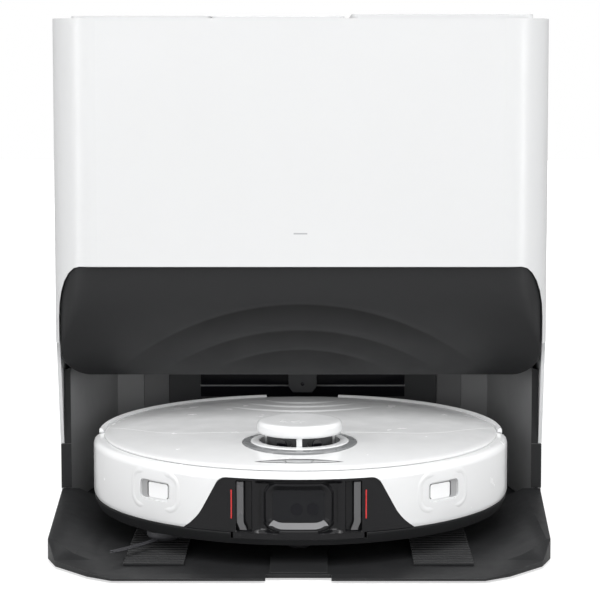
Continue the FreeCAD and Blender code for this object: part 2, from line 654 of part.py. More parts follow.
def make_top_cover():
    """Fixed white cover: front of the top disc, the floor under the lid and the rear wall."""
    disc = cut("cover_front", disc_shell("cover_disc"), lid_region("cover_lid_cut", "0"))
    dome = turned("cover_dome", [("0", "lid_floor_top - 1"),
                                 ("disc_radius - 4", "lid_floor_top - 1")] + crown("1.3")[1:])
    bulkhead = common("cover_bulkhead", dome,
                      half_space("bulkhead_slab", "lid_seam - 2", "lid_seam"))
    floor = common("cover_floor", ring("floor_disc", "0", "rear_radius",
                                       "lid_floor_top - 1.5", "lid_floor_top"),
                   half_space("floor_region", "lid_seam - 2", "180"))
    floor = cut("floor_sides", floor, common(
        "floor_bumper_room", ring("floor_edge", "163", "180", "60", "robot_top"),
        half_space("floor_bumper_region", "lid_seam - 10", "wall_start")))
    wall = common("cover_wall", turned("wall_ring", [
        ("rear_radius - side_wall", "skirt_top + 0.1"), ("rear_radius", "skirt_top + 0.1"),
        ("rear_radius", "shoulder_top - 1.2"), ("rear_radius - 0.9", "shoulder_top"),
        ("rear_radius - side_wall", "shoulder_top")]),
                  half_space("wall_region", "wall_start", "180"))
    turret = rod("turret_hole", "turret_ring", "40", ("0", "turret_y", "60"))
    bin_mouth = box("bin_mouth", ("-83", "83"), ("61", "141"), ("60", "75"))
    lobe_slot = box("lobe_slot", ("-hinge_half - 0.6", "hinge_half + 0.6"),
                    ("163", "180"), ("hinge_low - 0.6", "90"))
    reliefs = [box("wheel_relief_" + side, ("%s1 * wheel_x - wheel_half - 4" % sign,
                                            "%s1 * wheel_x + wheel_half + 4" % sign),
                   ("-30", "30"), ("60", "lid_floor_top + 0.1"))
               for side, sign in (("left", "-"), ("right", ""))]
    blank = cut("cover_blank", fuse("cover_whole", disc, bulkhead, floor, wall), turret,
                bin_mouth, lobe_slot, button_lens("button_slot", "button_gap", "60", "90"),
                *reliefs)
    node("top_cover", at_robot(fuse("top_cover", blank, turret_seat())))


def turret_seat():
    """A stepped tube under the disc that holds the turret's outer ring."""
    seat = turned("turret_seat", [
        ("turret_ring - 3", "lid_floor_top - 1.5"),
        ("turret_ring + 2.4", "lid_floor_top - 1.5"), ("turret_ring + 2.4", "74.6"),
        ("turret_ring", "74.6"), ("turret_ring", "lid_floor_top"),
        ("turret_ring - 3", "lid_floor_top")])
    return move(seat, "0", "turret_y", "0")


def make_rear_lid():
    """White lid over the dust bin, hinged by a lobe at the robot's rear edge."""
    lid = common("lid_blank", disc_shell("lid_disc"), lid_region("lid_region", "0.6"))
    lobe = common("lid_lobe", turned("lobe_ring", [
        ("163", "disc_bottom + 0.6"), ("167", "disc_bottom + 0.3"),
        ("rear_radius - 2.4", "disc_bottom - 1"), ("rear_radius - 2.4", "hinge_low"),
        ("rear_radius", "hinge_low"), ("rear_radius", "disc_bottom - 0.8"),
        ("rear_radius - 1", "disc_bottom + 1"), ("167.5", "disc_bottom + 1.8"),
        ("163", "disc_bottom + 2.3")]),
                  box("lobe_box", ("-hinge_half", "hinge_half"), ("160", "180"),
                      ("60", "90")))
    turret = rod("lid_turret_cut", "turret_ring + 0.5", "40", ("0", "turret_y", "60"))
    node("rear_lid", at_robot(cut("rear_lid", fuse("lid_whole", lid, lobe), turret)))


def at_height(height):
    """A test for edges that run front to back at one height."""
    straight = along((0, 1, 0))

    def chosen(edge):
        return straight(edge) and abs(edge.CenterOfMass.z - value(height)) < 0.5
    return chosen


def frame_outline(name, low, high):
    """The flared outline of the black sensor frame, seen from the front."""
    half = [("-90", "bumper_bottom"), ("-frame_waist", "33"), ("-frame_top_half", "65.5")]
    block = prism(name, "XZ_Plane", mirrored_outline(half), low, high)
    rounded(block, "9", at_height("65.5"))
    return rounded(block, "45", at_height("33"))


def side_window_block(name, turn, half, grow, inner, corner):
    """An upright block with round corners on the bumper, facing out at an angle."""
    low, high = "side_window_low - %s" % grow, "side_window_high + %s" % grow
    block = prism(name, "XZ_Plane", [("-" + half, low), (half, low), (half, high),
                                     ("-" + half, high)], "-180", "-%s" % inner)
    rounded(block, corner, along((0, 1, 0)))
    block.Placement = Placement(Vector(), Rotation(Vector(0, 0, 1), turn))
    return block


def make_bumper():
    """White sprung bumper round the front half, cut for the sensor frame and windows."""
    band = turned("bumper_band", [
        ("robot_radius - side_wall", "bumper_bottom"), ("robot_radius - 1", "bumper_bottom"),
        ("robot_radius", "bumper_bottom + 3"), ("robot_radius", "shoulder_top - 6.7"),
        ("robot_radius - 0.8", "shoulder_top - 3.6"), ("robot_radius - 3", "shoulder_top - 1.4"),
        ("robot_radius - 6", "shoulder_top - 0.3"), ("robot_radius - 10", "shoulder_top"),
        ("robot_radius - 10", "shoulder_top - 1.8"),
        ("robot_radius - 6.4", "shoulder_top - 2.1"),
        ("robot_radius - 4.2", "shoulder_top - 3.4"),
        ("robot_radius - side_wall", "shoulder_top - 6.7")])
    front = common("bumper_front", band, half_space("bumper_region", "-180", "bumper_end"))
    cuts = [frame_outline("bumper_frame_cut", "-180", "-100")]
    windows = []
    for side, sign in (("left", -1), ("right", 1)):
        turn = sign * value("side_angle")
        cuts.append(side_window_block("window_hole_" + side, turn, "side_window_half",
                                      "0", "166", "1.5"))
        cuts.append(side_window_block("window_recess_" + side, sign * value("recess_angle"),
                                      "side_recess_half", "side_recess_rise", "172.8", "4"))
        lens = side_window_block("window_lens_" + side, turn, "side_window_half",
                                 "0", "166", "1.5")
        windows.append(common("side_window_" + side, lens,
                              ring("lens_ring_" + side, "171.6", "173.8",
                                   "side_window_low", "side_window_high")))
    node("bumper", at_robot(cut("bumper", front, *cuts)))
    node("side_windows", at_robot(group("side_windows", *windows)))


def make_sensor_frame():
    """Glossy black frame in the bumper, recessed either side of a proud centre module."""
    band = common("frame_band", ring("frame_ring", "168.4", "174.8", "bumper_bottom", "66"),
                  frame_outline("frame_shape", "-180", "-100"))
    tongue = common("frame_tongue", ring("tongue_ring", "168.4", "174.8", "frame_foot",
                                         "bumper_bottom + 0.1"),
                    box("tongue_box", ("-frame_recess - 2", "frame_recess + 2"),
                        ("-180", "-150"), ("frame_foot", "bumper_bottom + 0.1")))
    recesses = [common("frame_recess_" + side,
                       ring("recess_ring_" + side, "171.2", "180", "24", "63.5"),
                       box("recess_box_" + side, span, ("-180", "-150"), ("24", "63.5")))
                for side, span in (("left", ("-frame_recess", "-module_half")),
                                   ("right", ("module_half", "frame_recess")))]
    opening = prism("frame_window", "XZ_Plane",
                    slot_outline("window_half + 0.05", "window_bottom - 0.05",
                                 "window_top + 0.05", "3"), "-180", "-150")
    node("sensor_frame", at_robot(cut("sensor_frame", fuse("frame_blank", band, tongue),
                                      opening, *recesses)))
    pane = prism("pane_shape", "XZ_Plane",
                 slot_outline("window_half", "window_bottom", "window_top", "3"),
                 "-180", "-150")
    glass = common("sensor_glass", pane, ring("pane_ring", "171.4", "173.6", "25", "66"))
    node("sensor_glass", at_robot(glass))


def make_camera_module():
    """Camera block behind the glass, with two lens barrels that look forward."""
    block = box("camera_block", ("-30", "30"), ("-158", "-138"), ("41.5", "60"))
    barrels = [rod("camera_barrel_%d" % i, "5", "6", ("%s" % x, "-163.5", "44"), "Y")
               for i, x in enumerate((-6, 8))]
    node("camera_module", at_robot(fuse("camera_module", block, *barrels)))


# ---- robot: turret and buttons ---------------------------------------------------------

def place_turret(item):
    return move(item, "0", "robot_y + turret_y", "robot_z")


def make_turret():
    """Laser turret: glossy outer ring, white collar, sprung cap and spinning scanner."""
    outer = turned("turret_ring", [("turret_collar", "lid_floor_top"),
                                   ("turret_ring - 0.1", "lid_floor_top"),
                                   ("turret_ring - 0.1", "robot_top - 1.4"),
                                   ("turret_ring - 1", "robot_top - 0.6"),
                                   ("turret_collar", "robot_top - 0.2")])
    node("turret_ring", place_turret(outer))
    collar = turned("turret_collar", [("0", "66"), ("turret_collar", "66"),
                                      ("turret_collar", "robot_top"),
                                      ("turret_collar - 1", "robot_top + 0.6"),
                                      ("turret_bore", "robot_top + 0.6"),
                                      ("turret_bore", "68.4"), ("4 + running_gap", "68.4"),
                                      ("4 + running_gap", "66.6"), ("0", "66.6")])
    node("turret_collar", place_turret(collar))
    roof = turned("cap_roof", [("0", "cap_bottom"), ("cap_radius - 0.6", "cap_bottom"),
                               ("cap_radius", "cap_bottom + 0.8"),
                               ("cap_radius", "cap_top - 3"),
                               ("cap_radius - 0.9", "cap_top - 1"),
                               ("cap_radius - 3", "cap_top"), ("0", "cap_top")])
    pillars = []
    for i in range(3):
        pillar = box("cap_pillar_%d" % i, ("-2.3", "2.3"), ("-31.8", "-28.6"), ("72", "89"))
        pillar.Placement = Placement(Vector(), Rotation(Vector(0, 0, 1), 120 * i))
        angle = math.radians(120 * i)
        corner = Rotation(Vector(0, 0, 1), 120 * i).multVec(Vector(-2.3, -31.8, 0))
        move(pillar, "%.5f" % corner.x, "%.5f" % corner.y, "72")
        pillars.append(pillar)
    node("turret_cap", place_turret(fuse("turret_cap", roof, *pillars)))
    drum = turned("rotor_drum", [("0", "67"), ("4", "67"), ("4", "69.4"),
                                 ("rotor_radius", "69.4"), ("rotor_radius", "rotor_top"),
                                 ("0", "rotor_top")])
    eyes = [rod("rotor_eye_%d" % i, "3.4", "3", (x, "-rotor_radius - 0.2", "81.4"), "Y")
            for i, x in enumerate(("-9.5", "9.5"))]
    node("lidar_rotor", place_turret(cut("lidar_rotor", drum, *eyes)))


def button_lens(name, grow, low, high):
    """A thin strip with pointed ends, where two wide discs cross."""
    discs = [rod("%s_%s" % (name, side), "lens_radius + %s" % grow,
                 "(%s) - (%s)" % (high, low),
                 ("0", "button_y %s (lens_radius - button_deep)" % sign, low))
             for side, sign in (("ahead", "-"), ("behind", "+"))]
    return common(name, *discs)


def make_buttons():
    """Three push buttons in a strip near the front edge, parted by two slanted gaps."""
    gap = "button_split + button_slant * %s + button_gap"
    cap = "button_split + button_slant * %s - button_gap"
    front, back = ("button_y - button_deep - 1", "button_y + button_deep + 1")
    outer = [(gap % "-1", front), ("40", front), ("40", back), (gap % "1", back)]
    middle = [("-(%s)" % (cap % "-1"), front), (cap % "-1", front), (cap % "1", back),
              ("-(%s)" % (cap % "1"), back)]
    mirrored = [("-(%s)" % x, y) for x, y in reversed(outer)]
    for name, outline in (("home_button", mirrored), ("power_button", middle),
                          ("spot_button", outer)):
        region = prism(name + "_region", "XY_Plane", outline, "66", "80")
        strip = button_lens(name + "_lens", "0", "67", "robot_top - 4.6")
        node(name, at_robot(common(name, region, strip)))


# ---- robot: inside ---------------------------------------------------------------------

def make_robot_inside():
    """Dust bin, battery, suction fan in its housing and the main circuit board."""
    block = prism("bin_block", "XY_Plane", [("-80", "64"), ("80", "64"), ("80", "116"),
                                            ("58", "138"), ("-58", "138"), ("-80", "116")],
                  "26", "71")
    hollow = prism("bin_hollow", "XY_Plane", [("-78", "66"), ("78", "66"), ("78", "115"),
                                              ("57", "136"), ("-57", "136"), ("-78", "115")],
                   "28", "72")
    node("dustbin", at_robot(cut("dustbin", block, hollow)))
    cell = prism("battery", "XY_Plane", [("-20", "17"), ("72", "17"), ("72", "58"),
                                         ("-20", "58")], "15", "40")
    node("battery", at_robot(rounded(cell, "4", along((1, 0, 0)))))
    place = ("-50", "38")
    shell = rod("suction_shell", "24", "44", place + ("16",))
    room = rod("suction_room", "22", "44", place + ("19",))
    bore = rod("suction_bore", "3 + running_gap", "4", place + ("16.5",))
    node("fan_housing", at_robot(cut("fan_housing", shell, room, bore)))
    disc = rod("fan_disc", "20.5", "2", place + ("22",))
    hub = rod("fan_hub", "6", "26", place + ("22",))
    shaft = rod("fan_shaft", "3", "5", place + ("17.5",))
    blades = [fan_blade(i) for i in range(7)]
    node("suction_fan", at_robot(fuse("suction_fan", disc, hub, shaft, *blades)))
    board = box("main_plate", ("-66", "66"), ("-36", "14"), ("64.6", "66"))
    chips = [box("main_chip_%d" % i, ("-50 + 34 * %d" % i, "-32 + 34 * %d" % i),
                 ("-24", "-6"), ("62.4", "64.7")) for i in range(3)]
    node("robot_board", at_robot(fuse("robot_board", board, *chips)))


def fan_blade(index):
    turn = Rotation(Vector(0, 0, 1), 360 * index / 7)
    corner = turn.multVec(Vector(4, -0.8, 0))
    blade = box("fan_blade_%d" % index, ("4", "20"), ("-0.8", "0.8"), ("23.8", "44"))
    blade.Placement = Placement(Vector(), turn)
    return move(blade, "-50 + %.5f" % corner.x, "38 + %.5f" % corner.y, "23.8")


# ---- robot: running gear and brushes ---------------------------------------------------

def make_wheel(side, sign):
    """Drive wheel with a lugged tyre, and the suspension arm that carries it."""
    middle = "%s1 * wheel_x" % sign
    start = "%s - wheel_half" % middle
    tyre = rod("tyre_" + side, "wheel_radius - 1.6", "2 * wheel_half",
               (start, "0", "wheel_radius"), "X")
    lugs = []
    for i in range(20):
        turn = Rotation(Vector(1, 0, 0), 18 * i)
        corner = turn.multVec(Vector(0, -2, value("wheel_radius") - 3))
        lug = box("lug_%s_%d" % (side, i), ("0", "2 * wheel_half"), ("0", "4"), ("0", "2.95"))
        lug.Placement = Placement(Vector(), turn)
        move(lug, start, "%.5f" % corner.y, "wheel_radius + %.5f" % corner.z)
        lugs.append(lug)
    hole = rod("wheel_bore_" + side, "axle_radius + running_gap", "30",
               ("%s - 15" % middle, "0", "wheel_radius"), "X")
    node("wheel_" + side, at_robot(cut("wheel_" + side, fuse("wheel_blank_" + side,
                                                             tyre, *lugs), hole)))
    arm_x = sorted(["%s95.6" % sign, "%s101.2" % sign], key=float)
    bar = prism("arm_bar_" + side, "YZ_Plane", [("-7", "26"), ("7", "25"), ("45", "26"),
                                                ("45", "38"), ("7", "41"), ("-7", "40")],
                arm_x[0], arm_x[1])
    axle = sorted(["%s98" % sign, "%s122" % sign], key=float)
    pin = rod("arm_axle_" + side, "axle_radius", "24", (axle[0], "0", "wheel_radius"), "X")
    pivot = sorted(["%s87.4" % sign, "%s98" % sign], key=float)
    stub = rod("arm_pivot_" + side, "4", "10.6", (pivot[0], "arm_pivot_y", "arm_pivot_z"),
               "X")
    node("wheel_arm_" + side, at_robot(fuse("wheel_arm_" + side, bar, pin, stub)))


def make_caster():
    """Front caster: a round fork that swivels in the chassis and a small roller."""
    cup = rod("fork_cup", "caster_cup", "21.6", ("0", "0", "13.4"))
    stem = rod("fork_stem", "5", "6", ("0", "0", "34"))
    room = box("fork_room", ("-9.4", "9.4"), ("caster_trail - 15", "caster_trail + 15"),
               ("10", "caster_radius * 2 + 1.4"))
    axle = rod("fork_axle", "2", "28", ("-14", "caster_trail", "caster_radius + 0.4"), "X")
    fork = fuse("caster_fork", cut("fork_body", cup, room), stem, axle)
    node("caster_fork", move(fork, "0", "robot_y + caster_y", "robot_z"))
    tyre = turned("caster_tyre", [("2 + running_gap", "-8.6"), ("caster_radius - 2", "-8.6"),
                                  ("caster_radius", "-5"), ("caster_radius", "5"),
                                  ("caster_radius - 2", "8.6"), ("2 + running_gap", "8.6")])
    tyre.Placement = Placement(Vector(), Rotation(Vector(0, 1, 0), 90))
    move(tyre, "0", "robot_y + caster_y + caster_trail", "robot_z + caster_radius + 0.4")
    node("caster_wheel", tyre)


def make_side_brush():
    """Three-armed sweeping brush under the front corner."""
    hub = turned("brush_hub", [("0", "4"), ("11", "4"), ("14", "7"), ("14", "11.4"),
                               ("4", "11.4"), ("4", "20"), ("0", "20")])
    arms = []
    for i in range(3):
        arm = prism("brush_arm_%d" % i, "XY_Plane",
                    [("8", "-3"), ("side_brush_reach - 0.4", "-2.5"),
                     ("side_brush_reach - 0.4", "2.5"), ("8", "3")], "4", "6.4")
        arm.Placement = Placement(Vector(), Rotation(Vector(0, 0, 1), 120 * i + 1.5))
        arms.append(arm)
    brush = fuse("side_brush", hub, *arms)
    node("side_brush", move(brush, "side_brush_x", "robot_y + side_brush_y", "robot_z"))


def make_roller(which):
    """One of the pair of rubber sweeping rollers, with six fins and end pins."""
    place = ("-roller_half", "0", "0")
    core = rod("roller_core_" + which, "12.5", "2 * roller_half", place, "X")
    pins = rod("roller_pins_" + which, "3", "2 * roller_half + 12", ("-roller_half - 6",
                                                                     "0", "0"), "X")
    fins = []
    for i in range(8):
        turn = Rotation(Vector(1, 0, 0), 45 * i)
        corner = turn.multVec(Vector(0, -1, 11.5))
        fin = box("fin_%s_%d" % (which, i), ("0", "2 * roller_half"), ("0", "2"),
                  ("0", "roller_radius - 11.6"))
        fin.Placement = Placement(Vector(), turn)
        fins.append(move(fin, "-roller_half", "%.5f" % corner.y, "%.5f" % corner.z))
    roller = fuse("roller_" + which, core, pins, *fins)
    node("roller_" + which, move(roller, "0", "robot_y + roller_%s_y" % which,
                                 "robot_z + roller_z"))


def make_mop():
    """Rear mop: a D-shaped plate on a lifting stem, and the cloth pad under it."""
    def d_shape(name, inset, low, high):
        disc = rod(name + "_disc", "mop_radius - %s" % inset, "(%s) - (%s)" % (high, low),
                   ("0", "0", low))
        return common(name + "_shape", disc,
                      half_space(name + "_band", "mop_front + %s" % inset,
                                 "mop_back - %s" % inset, low, high))
    stem = rod("mop_stem", "5", "14", ("0", "100", "mop_top - 1"))
    plate = fuse("mop_plate", d_shape("plate", "0", "mop_plate_bottom", "mop_top"), stem)
    node("mop_plate", at_robot(plate))
    pad = d_shape("pad", "1.5", "mop_bottom", "mop_plate_bottom")
    node("mop_pad", at_robot(pad))


# ---- make, check and write -------------------------------------------------------------

def make_all():
    fill_sheet()
    make_outer_shell()
    make_front_panel()
    make_hood()
    make_top_deck()
    make_base_tray()
    make_wheel_tracks()
    make_bay_liner()
    make_bay_ceiling()
    make_bay_fittings()
    make_wash_tray()
    make_wash_brush()
    make_tank("dirty", "dirty_left", "dirty_right", "deck_top + lid_rise - 1")
    make_tank("clean", "clean_left", "clean_right", "deck_top + lid_rise + 0.5")
    make_dust_room()
    make_dock_fan()
    make_dock_machinery()
    make_chassis()
    make_top_cover()
    make_rear_lid()
    make_bumper()
    make_sensor_frame()
    make_camera_module()
    make_turret()
    make_buttons()
    make_robot_inside()
    make_wheel("left", "-")
    make_wheel("right", "")
    make_caster()
    make_side_brush()
    make_roller("front")
    make_roller("rear")
    make_mop()
    DOC.recompute()


def check_all():
    """Stop if any object of the document failed, or any sub-part has no sound shape."""
    for item in DOC.Objects:
        if "Invalid" in item.State or "Error" in item.State:
            raise RuntimeError("%s failed: %s" % (item.Label, item.State))
    for name, item in NODES.items():
        if item.Shape.isNull() or not item.Shape.isValid() or item.Shape.Volume <= 0:
            raise RuntimeError("%s has no sound shape" % name)


def write_all():
    os.makedirs("parts", exist_ok=True)
    for name, item in NODES.items():
        item.Shape.exportStep("parts/%s.step" % name)
        bounds = item.Shape.BoundBox
        print("%-18s %d solids  %9.0f mm3  x %.1f..%.1f  y %.1f..%.1f  z %.1f..%.1f" % (
            name, len(item.Shape.Solids), item.Shape.Volume, bounds.XMin, bounds.XMax,
            bounds.YMin, bounds.YMax, bounds.ZMin, bounds.ZMax))


make_all()
check_all()
write_all()
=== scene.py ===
import json
import math

import bmesh
import bpy
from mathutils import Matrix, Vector


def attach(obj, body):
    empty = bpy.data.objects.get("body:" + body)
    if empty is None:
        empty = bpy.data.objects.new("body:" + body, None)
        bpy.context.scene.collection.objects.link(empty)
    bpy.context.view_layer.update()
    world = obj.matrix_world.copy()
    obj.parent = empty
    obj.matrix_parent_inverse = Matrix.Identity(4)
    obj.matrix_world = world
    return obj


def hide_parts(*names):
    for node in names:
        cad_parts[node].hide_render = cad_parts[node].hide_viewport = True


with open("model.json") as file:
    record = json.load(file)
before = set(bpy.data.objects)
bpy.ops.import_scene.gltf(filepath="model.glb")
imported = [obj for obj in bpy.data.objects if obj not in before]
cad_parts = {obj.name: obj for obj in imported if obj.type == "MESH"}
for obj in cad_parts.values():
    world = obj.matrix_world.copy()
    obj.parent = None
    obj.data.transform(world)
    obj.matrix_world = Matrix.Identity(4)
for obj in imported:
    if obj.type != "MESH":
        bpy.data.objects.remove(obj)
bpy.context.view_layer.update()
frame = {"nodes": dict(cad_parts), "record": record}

# Looks for a robot vacuum parked in its self-emptying dock.
# The frame is the CAD's: +X right, +Y back, +Z up. Pieces are drawn in millimetres.

MM = 0.001
NODES = frame["nodes"]

# places that repeat the CAD's own dimensions, in millimetres and degrees
ROBOT_Y = -48
ROBOT_Z = 8
ROBOT_RADIUS = 175
ROBOT_TOP = 79.6
DISC_RADIUS = 166
CROWN_DROP = 7
TURRET_Y = ROBOT_Y - 88
HOOD_TOP = 220
HOOD_BOTTOM = 119
HOOD_HALF = 205.8
HOOD_DRUM = 116
HOOD_AXIS_Y = 62
BUTTON_Y = -150
BUTTON_ARC = 114.5
BUTTON_DEEP = 4
WINDOW_HALF = 20.1
WINDOW_MIDDLE = 44.05
WINDOW_TALL = 24.9
WINDOW_LOW = WINDOW_MIDDLE - WINDOW_TALL / 2
WINDOW_HIGH = WINDOW_MIDDLE + WINDOW_TALL / 2
WINDOW_CORNER = 4
SIDE_WINDOW_DEGREES = 40.7
FRAME_FACE = 174.8
FRAME_BACK = 169.4
FRAME_TOP = 65.5
PAD_FRONT = 68
PAD_BACK = 150
PAD_RADIUS = 160
LINER_LOW = 18
LINER_HIGH = 123

# the camera looks slightly down through a long lens
CAMERA_PLACE = (0.016, -1.7617, 0.3966)
CAMERA_DOWN_DEGREES = 5.126
CAMERA_LENS = 122.4
CAMERA_SHIFT = (-0.0325, -0.1017)
# whiskers in each of the side brush's three tufts
WHISKERS = 11
# how bright the white room is for everything but the camera
ROOM_LIGHT = 0.54
# each arc pressed into the hood: height of its centre, radius and reach to each side
RIPPLES = ((-45.2, 231.6, 165), (-35, 198, 122), (-4.6, 149, 72))


# ---- camera, light and floor -------------------------------------------------------------

def make_camera():
    """The camera that the main picture is taken with."""
    data = bpy.data.cameras.new("camera")
    data.sensor_width = 36
    data.lens = CAMERA_LENS
    data.shift_x, data.shift_y = CAMERA_SHIFT
    camera = bpy.data.objects.new("camera", data)
    camera.location = CAMERA_PLACE
    camera.rotation_euler = (math.radians(90 - CAMERA_DOWN_DEGREES), 0, 0)
    bpy.context.scene.collection.objects.link(camera)
    bpy.context.scene.camera = camera


def soft_light(name, place, size, power, glossy=True, aim=(0, 0, 0.2)):
    """An area light aimed at a point, unseen by the camera."""
    data = bpy.data.lights.new(name, "AREA")
    data.shape = "RECTANGLE"
    data.size, data.size_y = size
    data.energy = power
    light = bpy.data.objects.new(name, data)
    light.location = place
    direction = Vector(aim) - Vector(place)
    light.rotation_euler = direction.to_track_quat("-Z", "Y").to_euler()
    light.visible_camera = False
    light.visible_glossy = glossy
    bpy.context.scene.collection.objects.link(light)


def make_room():
    """White all round for the camera, and a softer even light for the object."""
    world = bpy.data.worlds.new("white_room")
    bpy.context.scene.world = world
    world.use_nodes = True
    tree = world.node_tree
    room = tree.nodes["Background"]
    room.inputs["Color"].default_value = (1, 1, 1, 1)
    path = add(tree, "ShaderNodeLightPath")
    strength = spread(tree, path.outputs["Is Camera Ray"], ROOM_LIGHT, 1.0, 0, 1)
    tree.links.new(strength, room.inputs["Strength"])


def make_studio():
    """Soft boxes before and behind, a strip at each side, and broad light from above.

    The small light in the bay lifts its walls, which the dock's own roof keeps dark.
    """
    make_room()
    soft_light("front_box", (-0.2, -2.6, 0.42), size=(1.6, 0.8), power=9, glossy=False)
    soft_light("left_strip", (-1.45, -1.05, 0.5), size=(0.4, 1.6), power=11)
    soft_light("right_strip", (1.45, -1.05, 0.5), size=(0.4, 1.6), power=12)
    soft_light("back_box", (0.3, 2.6, 0.8), size=(1.6, 0.8), power=8, glossy=False)
    soft_light("top_box", (0, -0.6, 2.0), size=(1.4, 0.9), power=19, aim=(0, -0.1, 0.1))
    soft_light("bay_fill", (0, 0.03, 0.118), size=(0.36, 0.2), power=0.07, glossy=False,
               aim=(0, 0.03, 0))
    make_sun()
    bpy.context.scene.view_settings.view_transform = "Standard"


def make_sun():
    """A very soft sun high behind the camera."""
    data = bpy.data.lights.new("top_sun", "SUN")
    data.energy = 0.95
    data.angle = math.radians(50)
    sun = bpy.data.objects.new("top_sun", data)
    sun.rotation_euler = (math.radians(33), 0, math.radians(4))
    bpy.context.scene.collection.objects.link(sun)


def camera_glow(tree):
    """A glow that only the camera sees, which grows away from the middle of the floor."""
    place = add(tree, "ShaderNodeTexCoord")
    reach = add(tree, "ShaderNodeVectorMath", operation="LENGTH")
    tree.links.new(place.outputs["Object"], reach.inputs[0])
    glow = spread(tree, reach.outputs["Value"], 0.62, 0.9, 0.5, 2.4)
    path = add(tree, "ShaderNodeLightPath")
    return combine(tree, "MULTIPLY", glow, path.outputs["Is Camera Ray"])


def make_floor():
    """White paper that stays white in the picture without lighting the object."""
    half = 6.0
    mesh = bpy.data.meshes.new("floor")
    corners = [(-half, -half, 0), (half, -half, 0), (half, half, 0), (-half, half, 0)]
    mesh.from_pydata(corners, [], [(0, 1, 2, 3)])
    floor = bpy.data.objects.new("floor", mesh)
    bpy.context.scene.collection.objects.link(floor)
    paper = plastic("floor_paper", (0.5, 0.5, 0.5), rough=0.9, grain=40, bump=0.02, shine=0.0)
    tree = paper.node_tree
    shader = tree.nodes["Principled BSDF"]
    shader.inputs["Emission Color"].default_value = (1, 1, 1, 1)
    tree.links.new(camera_glow(tree), shader.inputs["Emission Strength"])
    floor.data.materials.append(paper)


# ---- materials ---------------------------------------------------------------------------

def add(tree, kind, **settings):
    """A new node with some of its settings."""
    item = tree.nodes.new(kind)
    for name, setting in settings.items():
        setattr(item, name, setting)
    return item


def combine(tree, operation, first, second):
    """One number made from two."""
    item = add(tree, "ShaderNodeMath", operation=operation)
    tree.links.new(first, item.inputs[0])
    tree.links.new(second, item.inputs[1])
    return item.outputs[0]


def add_relief(tree, shader, height, strength, distance):
    """Bump a surface by a height signal."""
    relief = add(tree, "ShaderNodeBump")
    relief.inputs["Strength"].default_value = strength
    relief.inputs["Distance"].default_value = distance
    tree.links.new(height, relief.inputs["Height"])
    tree.links.new(relief.outputs[0], shader.inputs["Normal"])


def noise(tree, scale, detail=4):
    """A cloudy signal that stays fixed to the object."""
    place = add(tree, "ShaderNodeTexCoord")
    item = add(tree, "ShaderNodeTexNoise")
    item.inputs["Scale"].default_value = scale
    item.inputs["Detail"].default_value = detail
    tree.links.new(place.outputs["Object"], item.inputs["Vector"])
    return item.outputs["Fac"]


def spread(tree, source, low, high, start=0.3, end=0.7):
    """Map a 0 to 1 signal onto a range."""
    item = add(tree, "ShaderNodeMapRange")
    item.inputs["From Min"].default_value = start
    item.inputs["From Max"].default_value = end
    item.inputs["To Min"].default_value = low
    item.inputs["To Max"].default_value = high
    tree.links.new(source, item.inputs["Value"])
    return item.outputs["Result"]


def mix_colours(tree, factor, first, second):
    """A blend of two colours, each a fixed one or another node's."""
    item = add(tree, "ShaderNodeMix", data_type="RGBA")
    tree.links.new(factor, item.inputs[0])
    for socket, colour in ((item.inputs[6], first), (item.inputs[7], second)):
        if isinstance(colour, tuple):
            socket.default_value = (*colour, 1)
        else:
            tree.links.new(colour, socket)
    return item.outputs[2]


def edge_mask(tree, radius):
    """1 along sharp edges and 0 on flat faces."""
    bevel = add(tree, "ShaderNodeBevel", samples=3)
    bevel.inputs["Radius"].default_value = radius
    geometry = add(tree, "ShaderNodeNewGeometry")
    dot = add(tree, "ShaderNodeVectorMath", operation="DOT_PRODUCT")
    tree.links.new(bevel.outputs["Normal"], dot.inputs[0])
    tree.links.new(geometry.outputs["Normal"], dot.inputs[1])
    return spread(tree, dot.outputs["Value"], 1, 0, 0.75, 0.98)


def shade(colour, factor):
    """A darker or lighter copy of a colour."""
    return tuple(min(1.0, c * factor) for c in colour)


def new_material(name):
    """A material with its node tree and its shader."""
    material = bpy.data.materials.new(name)
    material.use_nodes = True
    tree = material.node_tree
    return material, tree, tree.nodes["Principled BSDF"]


def plastic(name, colour, rough=0.4, grain=900, bump=0.08, coat=0.0, mottle=0.03,
            wear=0.0, metallic=0.0, shine=0.5):
    """Moulded material: fine texture, slight colour drift, uneven gloss, worn edges."""
    material, tree, shader = new_material(name)
    drift = noise(tree, 14, 3)
    base = mix_colours(tree, drift, shade(colour, 1 - mottle), shade(colour, 1 + mottle))
    if wear:
        edge = edge_mask(tree, 0.0012)
        patchy = spread(tree, noise(tree, 70), 0.2, 1.0)
        worn = combine(tree, "MULTIPLY", edge, patchy)
        amount = spread(tree, worn, 0, wear, 0, 1)
        base = mix_colours(tree, amount, base, tuple(0.5 * c + 0.25 for c in colour))
    tree.links.new(base, shader.inputs["Base Color"])
    gloss = spread(tree, noise(tree, 45, 6), max(0.03, rough - 0.05), rough + 0.06)
    tree.links.new(gloss, shader.inputs["Roughness"])
    add_relief(tree, shader, noise(tree, grain, 2), bump, 0.4 * MM)
    shader.inputs["Coat Weight"].default_value = coat
    shader.inputs["Coat Roughness"].default_value = 0.08
    shader.inputs["Metallic"].default_value = metallic
    shader.inputs["Specular IOR Level"].default_value = shine
    return material


